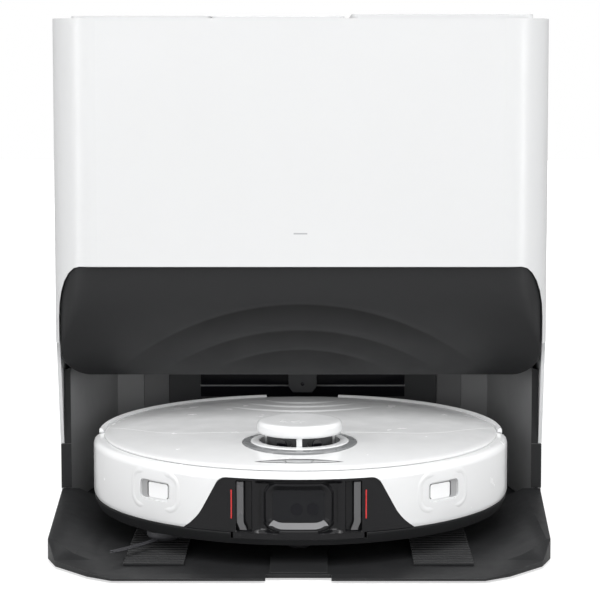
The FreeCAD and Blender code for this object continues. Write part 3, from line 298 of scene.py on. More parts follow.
def painted_crease_shade(tree):
    """Where shade is painted on the hood: 1 in the crease of each arc, fading out below it and
    to the sides.
    """
    place = add(tree, "ShaderNodeTexCoord")
    split = add(tree, "ShaderNodeSeparateXYZ")
    tree.links.new(place.outputs["Object"], split.inputs[0])
    flat = add(tree, "ShaderNodeCombineXYZ")
    tree.links.new(split.outputs["X"], flat.inputs["X"])
    tree.links.new(split.outputs["Z"], flat.inputs["Z"])
    side = add(tree, "ShaderNodeMath", operation="ABSOLUTE")
    tree.links.new(split.outputs["X"], side.inputs[0])
    deepest = None
    for centre, radius, reach in RIPPLES:
        away = add(tree, "ShaderNodeVectorMath", operation="DISTANCE")
        tree.links.new(flat.outputs[0], away.inputs[0])
        away.inputs[1].default_value = (0, 0, centre * MM)
        edge = radius * MM
        shade_here = spread(tree, away.outputs["Value"], 0, 1, edge - 18 * MM, edge)
        for signal in (spread(tree, away.outputs["Value"], 1, 0, edge, edge + 1.6 * MM),
                       spread(tree, side.outputs[0], 1, 0, 0.5 * reach * MM, reach * MM)):
            shade_here = combine(tree, "MULTIPLY", shade_here, signal)
        if deepest:
            shade_here = combine(tree, "MAXIMUM", deepest, shade_here)
        deepest = shade_here
    return deepest


def hood_plastic(colour):
    """Matte charcoal with painted shade in the creases of the pressed arcs."""
    material = plastic("hood_charcoal", colour, 0.5, wear=0.12, bump=0.16, shine=0.25)
    tree = material.node_tree
    socket = tree.nodes["Principled BSDF"].inputs["Base Color"]
    plain = socket.links[0].from_socket
    # painted shade: a darker charcoal in each arc's crease
    tree.links.new(mix_colours(tree, painted_crease_shade(tree), plain, shade(colour, 0.3)), socket)
    return material


def glass(name, colour, rough, alpha):
    """A glossy window that lets a little of what is behind it show through."""
    material = plastic(name, colour, rough, grain=300, bump=0.01)
    shader = material.node_tree.nodes["Principled BSDF"]
    shader.inputs["Alpha"].default_value = alpha
    shader.inputs["Specular IOR Level"].default_value = 0.2
    return material


def cloth(name, colour, weave, bump, sheen):
    """Woven or napped fabric: two crossed sets of fine waves, with faded patches."""
    material, tree, shader = new_material(name)
    place = add(tree, "ShaderNodeTexCoord")
    heights = []
    for axis in ("X", "Y"):
        wave = add(tree, "ShaderNodeTexWave", wave_type="BANDS", bands_direction=axis)
        wave.inputs["Scale"].default_value = weave
        wave.inputs["Distortion"].default_value = 1.2
        wave.inputs["Detail"].default_value = 2
        tree.links.new(place.outputs["Object"], wave.inputs["Vector"])
        heights.append(wave.outputs["Fac"])
    threads = combine(tree, "MAXIMUM", *heights)
    shadow = mix_colours(tree, threads, shade(colour, 0.72), shade(colour, 1.06))
    worn = mix_colours(tree, spread(tree, noise(tree, 30), 0, 0.35), shadow,
                       shade(colour, 0.85))
    tree.links.new(worn, shader.inputs["Base Color"])
    add_relief(tree, shader, threads, bump, 0.6 * MM)
    tree.links.new(spread(tree, noise(tree, 60), 0.8, 0.95), shader.inputs["Roughness"])
    shader.inputs["Sheen Weight"].default_value = sheen
    shader.inputs["Sheen Roughness"].default_value = 0.5
    return material


PLASTICS = {
    "dock_white": dict(colour=(0.64, 0.645, 0.65), rough=0.36, coat=0.12, bump=0.03,
                       mottle=0.012),
    "robot_white": dict(colour=(0.77, 0.775, 0.78), rough=0.22, coat=0.4, bump=0.008,
                        mottle=0.012),
    "charcoal": dict(colour=(0.0150, 0.0154, 0.0162), rough=0.46, wear=0.12, bump=0.16,
                     shine=0.3),
    "dark_liner": dict(colour=(0.21, 0.212, 0.215), rough=0.4, bump=0.1, shine=0.35),
    # a darker copy of the liner's grey: painted shade on the bay's back corners
    "painted_shade_facet_grey": dict(colour=(0.15, 0.151, 0.154), rough=0.4, bump=0.1, shine=0.35),
    # a near-black copy that paints shade on the bay's back wall, the laser rotor and the
    # beacon
    "painted_shade_dark": dict(colour=(0.04, 0.041, 0.043), rough=0.35, bump=0.08, shine=0.35),
    "black_gloss": dict(colour=(0.007, 0.007, 0.008), rough=0.2, bump=0.008, shine=0.32),
    "lens_dark": dict(colour=(0.005, 0.005, 0.007), rough=0.12, bump=0.004, shine=0.25),
    "ring_grey": dict(colour=(0.20, 0.205, 0.21), rough=0.28, coat=0.4, bump=0.02),
    "bezel_grey": dict(colour=(0.10, 0.10, 0.103), rough=0.3, bump=0.02),
    # a lighter grey that paints the highlight on the up-facing bevel under the window
    "sill_highlight_grey": dict(colour=(0.17, 0.17, 0.175), rough=0.3, bump=0.02),
    "well_shadow": dict(colour=(0.36, 0.36, 0.365), rough=0.4, bump=0.05),
    "button_grey": dict(colour=(0.44, 0.445, 0.45), rough=0.32, bump=0.03),
    "sensor_red": dict(colour=(0.55, 0.02, 0.02), rough=0.25, coat=0.5, bump=0.02),
    "status_lamp": dict(colour=(0.35, 0.36, 0.37), rough=0.3, bump=0.02),
    "tank_plastic": dict(colour=(0.32, 0.35, 0.37), rough=0.22, coat=0.3, bump=0.02),
    "bristles": dict(colour=(0.05, 0.05, 0.055), rough=0.5, bump=0.1),
    "rubber": dict(colour=(0.028, 0.028, 0.03), rough=0.62, bump=0.2, wear=0.2),
    "soft_rubber": dict(colour=(0.11, 0.115, 0.12), rough=0.66, bump=0.22),
    "contact_metal": dict(colour=(0.72, 0.66, 0.5), rough=0.28, metallic=1.0, grain=400,
                          bump=0.05, wear=0.2),
    "machine_grey": dict(colour=(0.13, 0.135, 0.14), rough=0.5, bump=0.2, wear=0.3),
    "board_green": dict(colour=(0.03, 0.14, 0.07), rough=0.38, grain=500, bump=0.12),
}


def make_materials():
    """Every material by name: one for each of the CAD's slots, and the shades beside them."""
    materials = {name: plastic(name, **look) for name, look in PLASTICS.items()}
    materials["hood_charcoal"] = hood_plastic((0.0175, 0.0179, 0.0187))
    materials["smoked_glass"] = glass("smoked_glass", (0.012, 0.0125, 0.014), 0.06, 0.93)
    materials["clear_window"] = glass("clear_window", (0.93, 0.935, 0.94), 0.1, 0.98)
    materials["paper_bag"] = cloth("paper_bag", (0.78, 0.74, 0.66), weave=700, bump=0.18,
                                   sheen=0.1)
    materials["mop_cloth"] = cloth("mop_cloth", (0.33, 0.35, 0.38), weave=420, bump=0.7,
                                   sheen=0.6)
    return materials


# ---- dressing the CAD nodes --------------------------------------------------------------

def dress_cad():
    """Give every CAD node the material of its slot."""
    slots = {part["node"]: part["material_slot"] for part in frame["record"]["subparts"]}
    for name, item in NODES.items():
        material = MATERIALS[slots[name]]
        if not item.material_slots:
            item.data.materials.append(material)
        for place in item.material_slots:
            place.material = material
    # these two share a slot with lighter parts, and are darkened with painted shade where
    # little light reaches them
    for name in ("lidar_rotor", "homing_beacon"):
        NODES[name].material_slots[0].material = MATERIALS["painted_shade_dark"]


def soften(name, width):
    """Round a CAD node's sharp edges, leaving its own mesh alone."""
    item = NODES[name]
    weld = item.modifiers.new("weld", "WELD")
    weld.merge_threshold = 0.00001
    flat = item.modifiers.new("flat", "DECIMATE")
    flat.decimate_type = "DISSOLVE"
    flat.angle_limit = math.radians(0.3)
    bevel = item.modifiers.new("bevel", "BEVEL")
    bevel.width = width
    bevel.segments = 3
    bevel.limit_method = "ANGLE"
    bevel.angle_limit = math.radians(35)
    bevel.use_clamp_overlap = True
    normals = item.modifiers.new("normals", "WEIGHTED_NORMAL")
    normals.keep_sharp = False


def soften_cad():
    """Round the edges that can be seen: wider on the dock than on the robot."""
    robot = ("top_cover", "rear_lid", "bumper", "chassis", "home_button", "power_button",
             "spot_button", "turret_ring", "turret_collar", "caster_wheel")
    dock = ("dirty_tank_lid", "clean_tank_lid", "dust_cover", "dirty_tank_handle",
            "clean_tank_handle", "homing_beacon", "base_tray", "wash_tray")
    for names, width in ((dock, 0.7), (("wheel_tracks", "bay_liner"), 0.8), (robot, 0.35)):
        for name in names:
            soften(name, width * MM)


# ---- building pieces ---------------------------------------------------------------------

def piece(name, points, faces, body, slot, material=None, angle=35):
    """A mesh piece from millimetre points, smooth except at sharp edges."""
    mesh = bpy.data.meshes.new(name)
    mesh.from_pydata([tuple(MM * c for c in p) for p in points], [], faces)
    mesh.update()
    shape = bmesh.new()
    shape.from_mesh(mesh)
    bmesh.ops.recalc_face_normals(shape, faces=shape.faces)
    for edge in shape.edges:
        if len(edge.link_faces) == 2:
            edge.smooth = edge.calc_face_angle() < math.radians(angle)
    for face in shape.faces:
        face.smooth = True
    shape.to_mesh(mesh)
    shape.free()
    item = bpy.data.objects.new(name, mesh)
    bpy.context.scene.collection.objects.link(item)
    item.data.materials.append(material or MATERIALS[slot])
    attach(item, body)
    return item


def grid_faces(rows, columns, wrap=False):
    """Faces between rows of points, joined round each row's ends if it wraps."""
    faces = []
    across = columns if wrap else columns - 1
    for i in range(rows - 1):
        for j in range(across):
            k = (j + 1) % columns
            faces.append((i * columns + j, i * columns + k,
                          (i + 1) * columns + k, (i + 1) * columns + j))
    return faces


def swept_faces(rows, width):
    """Faces of a closed section swept from one end to the other, with both ends capped."""
    faces = grid_faces(rows, width)
    faces += [(i * width, (i + 1) * width, (i + 1) * width + width - 1,
               i * width + width - 1) for i in range(rows - 1)]
    return faces + [tuple(range(width)),
                    tuple((rows - 1) * width + j for j in range(width))]


def button_faces(count):
    """Faces of a low button: a centre point, the loop round its face and one behind it."""
    ahead = [(i, (i + 1) % count) for i in range(count)]
    faces = [(0, 1 + i, 1 + n) for i, n in ahead]
    faces += [(1 + i, 1 + n, 1 + count + n, 1 + count + i) for i, n in ahead]
    return faces + [tuple(1 + count + i for i in range(count))]


def outline_faces(count):
    """Faces of a thin ring from four loops: outer and inner on top, then the same below."""
    faces = []
    for i in range(count):
        n = (i + 1) % count
        for a, b in ((0, 1), (1, 3), (3, 2), (2, 0)):
            faces.append((a * count + i, a * count + n, b * count + n, b * count + i))
    return faces


def thick_sheet(outer, inner):
    """Points and faces of a closed sheet between two matching grids of points."""
    rows, columns = len(outer), len(outer[0])
    count = rows * columns
    points = [p for row in outer for p in row] + [p for row in inner for p in row]
    front = grid_faces(rows, columns)
    back = [tuple(count + i for i in reversed(face)) for face in front]
    rim = ([i * columns for i in range(rows)]
           + [(rows - 1) * columns + j for j in range(1, columns)]
           + [i * columns + columns - 1 for i in range(rows - 2, -1, -1)]
           + [j for j in range(columns - 2, 0, -1)])
    sides = [(rim[i], rim[(i + 1) % len(rim)], count + rim[(i + 1) % len(rim)],
              count + rim[i]) for i in range(len(rim))]
    return points, front + back + sides


def lathe(profile, centre, segments=96):
    """Points and faces of a closed profile of (radius, height) turned about a point."""
    points = []
    for radius, height in profile:
        for j in range(segments):
            a = 2 * math.pi * j / segments
            points.append((centre[0] + radius * math.cos(a),
                           centre[1] + radius * math.sin(a), centre[2] + height))
    faces = grid_faces(len(profile), segments, wrap=True)
    if profile[0][0] > 0 and profile[-1][0] > 0:
        last = (len(profile) - 1) * segments
        faces += [(last + j, last + (j + 1) % segments, (j + 1) % segments, j)
                  for j in range(segments)]
    return points, faces


def ramp(value, start, end):
    """0 before start, 1 after end and a straight line between them."""
    return min(1.0, max(0.0, (value - start) / (end - start)))


def lens_disc(radius, thick):
    """Points and faces of a flat round disc that faces along its third axis."""
    axis = 0.01
    profile = [(axis, 0), (radius, 0), (radius, -thick), (axis, -thick)]
    return lathe(profile, (0, 0, 0), 32)


def smooth_step(value, start, end):
    """A ramp that starts and ends level."""
    t = ramp(value, start, end)
    return t * t * (3 - 2 * t)


def on_robot(x, radius, z):
    """A point on the front of the robot at a distance x across and a radius out."""
    return (x, ROBOT_Y - math.sqrt(radius ** 2 - x ** 2), ROBOT_Z + z)


# ---- hood --------------------------------------------------------------------------------

def hood_half_width(z):
    """Half the hood's width at a height: elliptical corners above, round ones below."""
    wide, tall, low = 20, 45, 24
    half = HOOD_HALF
    if z > HOOD_TOP - tall:
        t = (z - (HOOD_TOP - tall)) / tall
        half -= wide * (1 - math.sqrt(max(0, 1 - t * t)))
    if z < HOOD_BOTTOM + low:
        t = (HOOD_BOTTOM + low - z) / low
        half -= low * (1 - math.sqrt(max(0, 1 - t * t)))
    return half


def hood_ripple(x, z):
    """Three soft steps that spread over the hood like rings on water."""
    depth = 1.3
    height = 0
    for centre, radius, reach in RIPPLES:
        away = math.hypot(x, z - centre) - radius
        width = 3 if away > 0 else 16
        fade = 1 - smooth_step(abs(x), 0.62 * reach, reach)
        height -= depth * fade * math.exp(-(away / width) ** 2)
    return height


def hood_depth(x, z):
    """Where the hood's face is, front to back: drum-curved, with round upright corners."""
    corner_x, corner_y, corner_radius = 171, -16, 38
    drum = HOOD_AXIS_Y - math.sqrt(HOOD_DRUM ** 2 - (HOOD_TOP - z) ** 2)
    corner = max(0, abs(x) - corner_x)
    plan = corner_y - math.sqrt(max(0, corner_radius ** 2 - corner ** 2))
    soft = 5
    blend = max(soft - abs(drum - plan), 0) / soft
    return max(drum, plan) + 0.25 * soft * blend * blend


def make_hood():
    """The charcoal panel under the dock's front, with the arcs pressed into it."""
    rows, columns = 121, 401
    low, high, thick = HOOD_BOTTOM + 0.2, HOOD_TOP - 0.6, 3
    outer, inner = [], []
    for i in range(rows):
        z = low + (high - low) * i / (rows - 1)
        half = hood_half_width(z)
        line = [half * (2 * j / (columns - 1) - 1) for j in range(columns)]
        outer.append([(x, hood_depth(x, z) - hood_ripple(x, z), z) for x in line])
        inner.append([(x * 0.985, hood_depth(x, z) + thick, z) for x in line])
    points, faces = thick_sheet(outer, inner)
    hood = piece("hood_face", points, faces, "station", "charcoal",
                 MATERIALS["hood_charcoal"])
    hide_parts("hood")


# ---- sensor frame ------------------------------------------------------------------------

def frame_half_width(z):
    """Half the black frame's width: rounded top corners and flanks that flare out low."""
    foot_top, foot_half = 23, 50.6
    knee, knee_half = 33, 78.5
    corner = 9
    if z < foot_top:
        return foot_half
    if z > knee:
        line = knee_half - 17 * (z - knee) / (FRAME_TOP - knee)
    else:
        line = knee_half + 11.5 * (knee - z) / (knee - foot_top)
    line += 0.96 * math.exp(-((z - knee) / 5) ** 2)
    if z > FRAME_TOP - corner:
        t = (z - (FRAME_TOP - corner)) / corner
        line -= 5.5 * (1 - math.sqrt(max(0, 1 - t * t)))
    return line


def outside_window(x, z):
    """Distance outside the window's rounded edge, in millimetres."""
    across = abs(x) - (WINDOW_HALF - WINDOW_CORNER)
    up = abs(z - WINDOW_MIDDLE) - (WINDOW_TALL / 2 - WINDOW_CORNER)
    return math.hypot(max(across, 0), max(up, 0)) + min(max(across, up), 0) - WINDOW_CORNER


def frame_recess(x, z):
    """How far the frame's face is set back from the bumper at a point."""
    side = abs(x)
    away = outside_window(x, z)
    slope = 5.4 if z < WINDOW_LOW else 4.2
    plain, dish_half, dish_low, dish_high = 0.5, 35.4, 23, 64
    depth = plain
    # the bevel that leads in to the window, then the dished field round it
    if away < slope + 1:
        depth = 3.3 - 2.6 * ramp(away, 0, slope)
    elif side < dish_half and dish_low < z < dish_high:
        depth = 0.7 + 3.9 * (ramp(away, slope + 1, slope + 2.6)
                             * ramp(dish_half - side, 0, 6.5))
        depth = plain + (depth - plain) * ramp(min(z - dish_low, dish_high - z), 0, 2.5)
    # the upright groove that holds a grey bar
    if 36.2 < side < 48.4:
        depth += 4.1 * ramp(z, 23.8, 24.6) * (1 - ramp(z, 62.4, 63.2))
    # the flat tab in the middle of the foot
    if side < 17.3 - 0.5 * abs(z - 20) and 19.6 < z < 25.2:
        depth = 0.3
    return depth


def make_sensor_frame():
    """The flared black frame in the bumper, with a hole for its window."""
    heights = [18.4, 19.4, 20.2, 21, 22, 22.9, 23.05] + [23.4 + 0.6 * i for i in range(70)]
    heights.append(FRAME_TOP)
    columns = 301
    outer, inner = [], []
    for z in heights:
        half = frame_half_width(z)
        line = [half * (2 * j / (columns - 1) - 1) for j in range(columns)]
        outer.append([on_robot(x, FRAME_FACE - frame_recess(x, z), z) for x in line])
        inner.append([on_robot(x * 0.995, FRAME_BACK, z) for x in line])
    points, faces = thick_sheet(outer, inner)
    item = piece("sensor_frame_face", points, faces, "bumper", "black_gloss", angle=28)
    window = cutter_box("window_cutter", WINDOW_HALF + 0.05, WINDOW_LOW - 0.1,
                        WINDOW_HIGH + 0.1)
    hole = item.modifiers.new("hole", "BOOLEAN")
    hole.object = window
    hole.solver = "EXACT"
    apply_modifiers(item)
    bpy.data.objects.remove(window)
    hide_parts("sensor_frame")
    make_frame_details()


def cutter_box(name, half, low, high):
    """A block with four rounded edges that cuts a window through the frame."""
    middle_y, deep = ROBOT_Y - 165, 30
    mesh = bpy.data.meshes.new(name)
    shape = bmesh.new()
    bmesh.ops.create_cube(shape, size=1)
    for vertex in shape.verts:
        vertex.co.x *= 2 * half * MM
        vertex.co.y = (middle_y + deep * vertex.co.y) * MM
        vertex.co.z = (ROBOT_Z + (low + high) / 2 + (high - low) * vertex.co.z) * MM
    through = [e for e in shape.edges
               if abs(e.verts[0].co.y - e.verts[1].co.y) > 0.001]
    bmesh.ops.bevel(shape, geom=through, offset=WINDOW_CORNER * MM, segments=6,
                    affect="EDGES", profile=0.5)
    bmesh.ops.recalc_face_normals(shape, faces=shape.faces)
    shape.to_mesh(mesh)
    shape.free()
    item = bpy.data.objects.new(name, mesh)
    bpy.context.scene.collection.objects.link(item)
    return item


def apply_modifiers(item):
    """Keep the mesh that an item's modifiers give, and drop the modifiers."""
    graph = bpy.context.evaluated_depsgraph_get()
    finished = bpy.data.meshes.new_from_object(item.evaluated_get(graph))
    item.modifiers.clear()
    item.data = finished


def curved_patch(name, left, right, low, high, radius, thick, slot, material=None,
                 lean=0.0):
    """A thin plate that follows the robot's round front between two x and two z."""
    cell, bend = 1.5, 7
    columns = max(3, int((right - left) / cell) + 2)
    rows = max(3, int((high - low) / cell) + 2)
    outer, inner = [], []
    for i in range(rows):
        z = low + (high - low) * i / (rows - 1)
        shift = lean * smooth_step(low + bend - z, 0, bend)
        line = [left + shift + (right - left) * j / (columns - 1) for j in range(columns)]
        outer.append([on_robot(x, radius, z) for x in line])
        inner.append([on_robot(x, radius - thick, z) for x in line])
    points, faces = thick_sheet(outer, inner)
    return piece(name, points, faces, "bumper", slot, material)


def make_window_sill():
    """The bevel under the window, in a lighter grey that paints the highlight it catches, with
    ends that turn up its sides.
    """
    rows, steps = 7, 40
    outer, inner = [], []
    for i in range(rows):
        away = 0.5 + 4.6 * i / (rows - 1)
        radius = FRAME_FACE - 3.3 + 2.6 * away / 5.4 + 0.12
        line = []
        for j in range(steps + 1):
            across = (WINDOW_HALF - 1.5) * (2 * j / steps - 1) * (1 + 0.05 * away)
            rise = 2.6 * ramp(abs(across), 12, WINDOW_HALF) ** 2
            line.append((across, radius, WINDOW_LOW - away + rise))
        outer.append([on_robot(*point) for point in line])
        inner.append([on_robot(x, r - 0.3, z) for x, r, z in line])
    points, faces = thick_sheet(outer, inner)
    piece("window_sill_highlight", points, faces, "bumper", "ring_grey", MATERIALS["sill_highlight_grey"])


def make_frame_details():
    """The window, the camera lenses seen in it, grey bars and red strips beside it."""
    window = curved_patch("sensor_window", -WINDOW_HALF, WINDOW_HALF, WINDOW_LOW,
                          WINDOW_HIGH, 171.7, 0.9, "smoked_glass")
    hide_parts("sensor_glass")
    make_window_sill()
    for n, x in enumerate((-1.5, 10.5)):
        _, lens_y, lens_z = on_robot(x, 171.9, 41.8)
        points, faces = lens_disc(4.6, 0.3)
        points = [(x + across, lens_y - out, lens_z + up) for across, up, out in points]
        piece("camera_lens_%d" % n, points, faces, "bumper", "smoked_glass",
              MATERIALS["lens_dark"])
    for side, sign in (("left", -1), ("right", 1)):
        ends = sorted((sign * 42.6, sign * 47.8))
        curved_patch("frame_bar_" + side, ends[0], ends[1], 24.8, 62.2, 173.2, 2.6,
                     "ring_grey", MATERIALS["bezel_grey"], lean=-sign * 2.4)
        ends = sorted((sign * 51.5, sign * 52.5))
        curved_patch("frame_strip_" + side, ends[0], ends[1], 33.6, 56, 174.7, 0.6,
                     "black_gloss", MATERIALS["sensor_red"])


# ---- turret cap --------------------------------------------------------------------------

def rounded_profile(points, radius, steps=5):
    """A profile with every corner rounded but its two ends."""
    result = [points[0]]
    for before, here, after in zip(points, points[1:], points[2:]):
        a = Vector(before) - Vector(here)
        b = Vector(after) - Vector(here)
        reach = min(radius, 0.45 * a.length, 0.45 * b.length)
        start = Vector(here) + a.normalized() * reach
        end = Vector(here) + b.normalized() * reach
        for i in range(steps + 1):
            t = i / steps
            first = start.lerp(Vector(here), t)
            second = Vector(here).lerp(end, t)
            result.append(tuple(first.lerp(second, t)))
    result.append(points[-1])
    return result


def make_turret_cap():
    """The turret's round white cap on three pillars, one of them in front."""
    centre = (0, TURRET_Y, ROBOT_Z)
    profile = rounded_profile([(0.01, 86.8), (33.4, 86.8), (34.5, 88.6), (34.4, 94),
                               (32.6, 96.2), (29, 96.5), (0.01, 96.5)], 1.7)
    points, faces = lathe(profile, centre)
    cap = piece("turret_cap_top", points, faces, "turret_cap", "robot_white")
    inner, outer, half = 28.6, 31.8, 2.3
    for i in range(3):
        a = math.radians(120 * i - 90)
        corners = []
        for z in (72, 88):
            for out, across in ((inner, -half), (outer, -half), (outer, half), (inner, half)):
                corners.append((out * math.cos(a) - across * math.sin(a),
                                TURRET_Y + out * math.sin(a) + across * math.cos(a),
                                ROBOT_Z + z))
        sides = [(0, 1, 2, 3), (7, 6, 5, 4)] + [(j, (j + 1) % 4, 4 + (j + 1) % 4, 4 + j)
                                                for j in range(4)]
        pillar = piece("cap_pillar_%d" % i, corners, sides, "turret_cap", "robot_white")
        bevel = pillar.modifiers.new("bevel", "BEVEL")
        bevel.width = 0.6 * MM
        bevel.segments = 3
    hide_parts("turret_cap")


def make_rotor_eyes():
    """The laser's two dark round lenses on the front of its drum."""
    drum, height = 26.9, 80.4
    points, faces = lens_disc(4.4, 1)
    for n, turn in enumerate((-32, 32)):
        a = math.radians(turn)
        placed = []
        for across, up, out in points:
            reach = drum + out
            placed.append((reach * math.sin(a) + across * math.cos(a),
                           TURRET_Y - reach * math.cos(a) + across * math.sin(a),
                           ROBOT_Z + height + up))
        piece("rotor_eye_%d" % n, placed, faces, "lidar_rotor", "smoked_glass",
              MATERIALS["lens_dark"])


# ---- side windows and their borders ------------------------------------------------------

def at_window(sign, across, out, z):
    """A point on the flat of a side window: across it, out from the centre, and up."""
    a = math.radians(SIDE_WINDOW_DEGREES)
    x = sign * (out * math.sin(a) - across * math.cos(a))
    y = ROBOT_Y - out * math.cos(a) - across * math.sin(a)
    return (x, y, ROBOT_Z + z)


def rounded_rectangle(half, low, high, radius, steps=6):
    """Points round a rectangle with round corners, as (across, height, normal angle)."""
    points = []
    for turn, x, z in ((0, half - radius, high - radius), (90, radius - half, high - radius),
                       (180, radius - half, low + radius), (270, half - radius, low + radius)):
        for i in range(steps + 1):
            a = math.radians(turn + 90 * i / steps)
            points.append((x + radius * math.cos(a), z + radius * math.sin(a), a))
    return points


def make_window_details():
    """A sheet of painted shade in the well beside each lens, and the soft raised border round
    the recess.
    """
    for side, sign in (("left", -1), ("right", 1)):
        # painted shade: a grey sheet over the recess floor beside the lens
        loop = rounded_rectangle(4.8, 41.2, 55.4, 3)
        points = [at_window(sign, 0, 172.95, 48.3)]
        points += [at_window(sign, x - 11, 172.95, z) for x, z, _ in loop]
        points += [at_window(sign, x - 11, 172.7, z) for x, z, _ in loop]
        faces = button_faces(len(loop))
        piece("painted_well_shade_" + side, points, faces, "bumper", "ring_grey",
              MATERIALS["well_shadow"])
        make_gasket(side, sign)
        make_border(side, sign)


def make_gasket(side, sign):
    """A thin dark outline round the bright lens."""
    outer = rounded_rectangle(11.6, 42.6, 54.6, 1.6)
    inner = rounded_rectangle(10.9, 43.4, 53.8, 1.2)
    points = []
    for depth in (173.35, 173.1):
        for loop in (outer, inner):
            points += [at_window(sign, x + 2.6, depth, z) for x, z, _ in loop]
    piece("window_gasket_" + side, points, outline_faces(len(outer)), "bumper",
          "ring_grey", MATERIALS["bezel_grey"])


def make_border(side, sign):
    """The soft raised border round a side window."""
    middle = math.radians(40.9)
    loop = rounded_rectangle(25, 34.5, 62, 9, 10)
    section = ((-3, -0.2), (-1.6, 0.15), (-0.5, 0.34), (0.5, 0.34), (1.6, 0.15), (3, -0.2))
    points = []
    for x, z, a in loop:
        for offset, rise in section:
            across = x + offset * math.cos(a)
            turn = middle - across / ROBOT_RADIUS
            radius = ROBOT_RADIUS + rise
            points.append((sign * radius * math.sin(turn), ROBOT_Y - radius * math.cos(turn),
                           ROBOT_Z + z + offset * math.sin(a)))
    count, width = len(loop), len(section)
    faces = []
    for i in range(count):
        n = (i + 1) % count
        for j in range(width):
            k = (j + 1) % width
            faces.append((i * width + j, i * width + k, n * width + k, n * width + j))
    piece("window_border_" + side, points, faces, "bumper", "robot_white", angle=60)


# ---- robot lid and bay fittings ----------------------------------------------------------

def crown_height(x, y):
    """The height of the robot's domed top over a place on its disc."""
    return ROBOT_TOP - CROWN_DROP * (math.hypot(x, y) / DISC_RADIUS) ** 4


def make_rear_rim():
    """The raised rim round the robot's rear, broken at the lid's hinge."""
    profile = ((166.9, 70.3), (167.3, 72.4), (168.4, 73.8), (169.8, 74.2), (170.7, 73.4),
               (170.9, 70.5))
    steps = 60
    for side, start, end in (("right", -1.4, 78.6), ("left", 101.4, 181.4)):
        points = []
        for i in range(steps + 1):
            a = math.radians(start + (end - start) * i / steps)
            points += [(r * math.cos(a), ROBOT_Y + r * math.sin(a), ROBOT_Z + z)
                       for r, z in profile]
        faces = swept_faces(steps + 1, len(profile))
        piece("rear_rim_" + side, points, faces, "robot", "robot_white", angle=50)


def make_button_outline():
    """The dark outline printed round the strip of buttons."""
    steps = 40
    loops = []
    for grow in (0.1, 1.3):
        radius = BUTTON_ARC + grow
        half = math.acos((BUTTON_ARC - BUTTON_DEEP) / radius)
        loop = []
        for sign in (1, -1):
            for i in range(steps):
                a = sign * math.pi / 2 + half - 2 * half * i / steps
                centre = -sign * (BUTTON_ARC - BUTTON_DEEP)
                loop.append((radius * math.cos(a), BUTTON_Y + centre + radius * math.sin(a)))
        loops.append(loop)
    points = []
    for lift in (0.12, -0.3):
        for loop in loops:
            points += [(x, ROBOT_Y + y, ROBOT_Z + crown_height(x, y) + lift)
                       for x, y in loop]
    piece("button_outline", points, outline_faces(2 * steps), "robot", "button_grey",
          MATERIALS["bezel_grey"])


def make_lid_ripples():
    """Three low arcs that spread forward from the lid's rear edge."""
    centre_y = 128
    section = ((-4, -0.3), (-2.6, 0.3), (-1.2, 0.8), (0.2, 0.9), (2.2, 0.35), (5, -0.3))
    steps = 48
    for n, (radius, reach) in enumerate(((34, 62), (56, 56), (80, 50))):
        points = []
        for i in range(steps + 1):
            a = math.radians(-90 - reach + 2 * reach * i / steps)
            fade = math.cos(math.pi / 2 * (2 * i / steps - 1)) ** 0.6
            for offset, rise in section:
                x = (radius + offset) * math.cos(a)
                y = centre_y + (radius + offset) * math.sin(a)
                lift = rise * fade if rise > 0 else rise
                points.append((x, ROBOT_Y + y, ROBOT_Z + crown_height(x, y) + lift))
        faces = swept_faces(steps + 1, len(section))
        piece("lid_ripple_%d" % n, points, faces, "rear_lid", "robot_white", angle=70)


def block(name, x, y, z, body, slot, material=None, edge=0.6):
    """A small block with bevelled edges between two coordinates on each axis."""
    points = [(x[i], y[j], z[k]) for k in (0, 1) for j in (0, 1) for i in (0, 1)]
    faces = [(0, 2, 3, 1), (4, 5, 7, 6), (0, 1, 5, 4), (2, 6, 7, 3), (0, 4, 6, 2),
             (1, 3, 7, 5)]
    item = piece(name, points, faces, body, slot, material)
    bevel = item.modifiers.new("bevel", "BEVEL")
    bevel.width = edge * MM
    bevel.segments = 3
    return item


def upright_panel(name, start, end, low, high, slot, material):
    """A thin panel standing between two points of the plan, on its left-hand side."""
    thick = 0.5
    run = Vector(end) - Vector(start)
    away = Vector((-run.y, run.x)).normalized() * thick
    corners = [Vector(start), Vector(end), Vector(end) + away, Vector(start) + away]
    points = [(c.x, c.y, z) for z in (low, high) for c in corners]
    faces = [(3, 2, 1, 0), (4, 5, 6, 7)]
    faces += [(i, (i + 1) % 4, 4 + (i + 1) % 4, 4 + i) for i in range(4)]
    return piece(name, points, faces, "station", slot, material)


def make_bay_edges():
    """Dark lips on the liner's front edges, and at each side an inner facet darkened with
    painted shade.
    """
    inner = 201.8
    lips = ((207.6, 58, 123.6), (210.8, 18.4, 57.6))
    for side, sign in (("left", -1), ("right", 1)):
        for n, (outer, low, high) in enumerate(lips):
            block("liner_lip_%s_%d" % (side, n), sorted((sign * inner, sign * outer)),
                  (5.1, 5.8), (low, high), "station", "dark_liner",
                  MATERIALS["charcoal"], edge=0.3)
        # each back corner gets a thin sheet of painted shade in a darker grey
        ends = sorted(((sign * 150, 151.5), (sign * 128, 166.5)), reverse=True)
        upright_panel("bay_facet_" + side, ends[0], ends[1], LINER_LOW, LINER_HIGH,
                      "dark_liner", MATERIALS["painted_shade_facet_grey"])


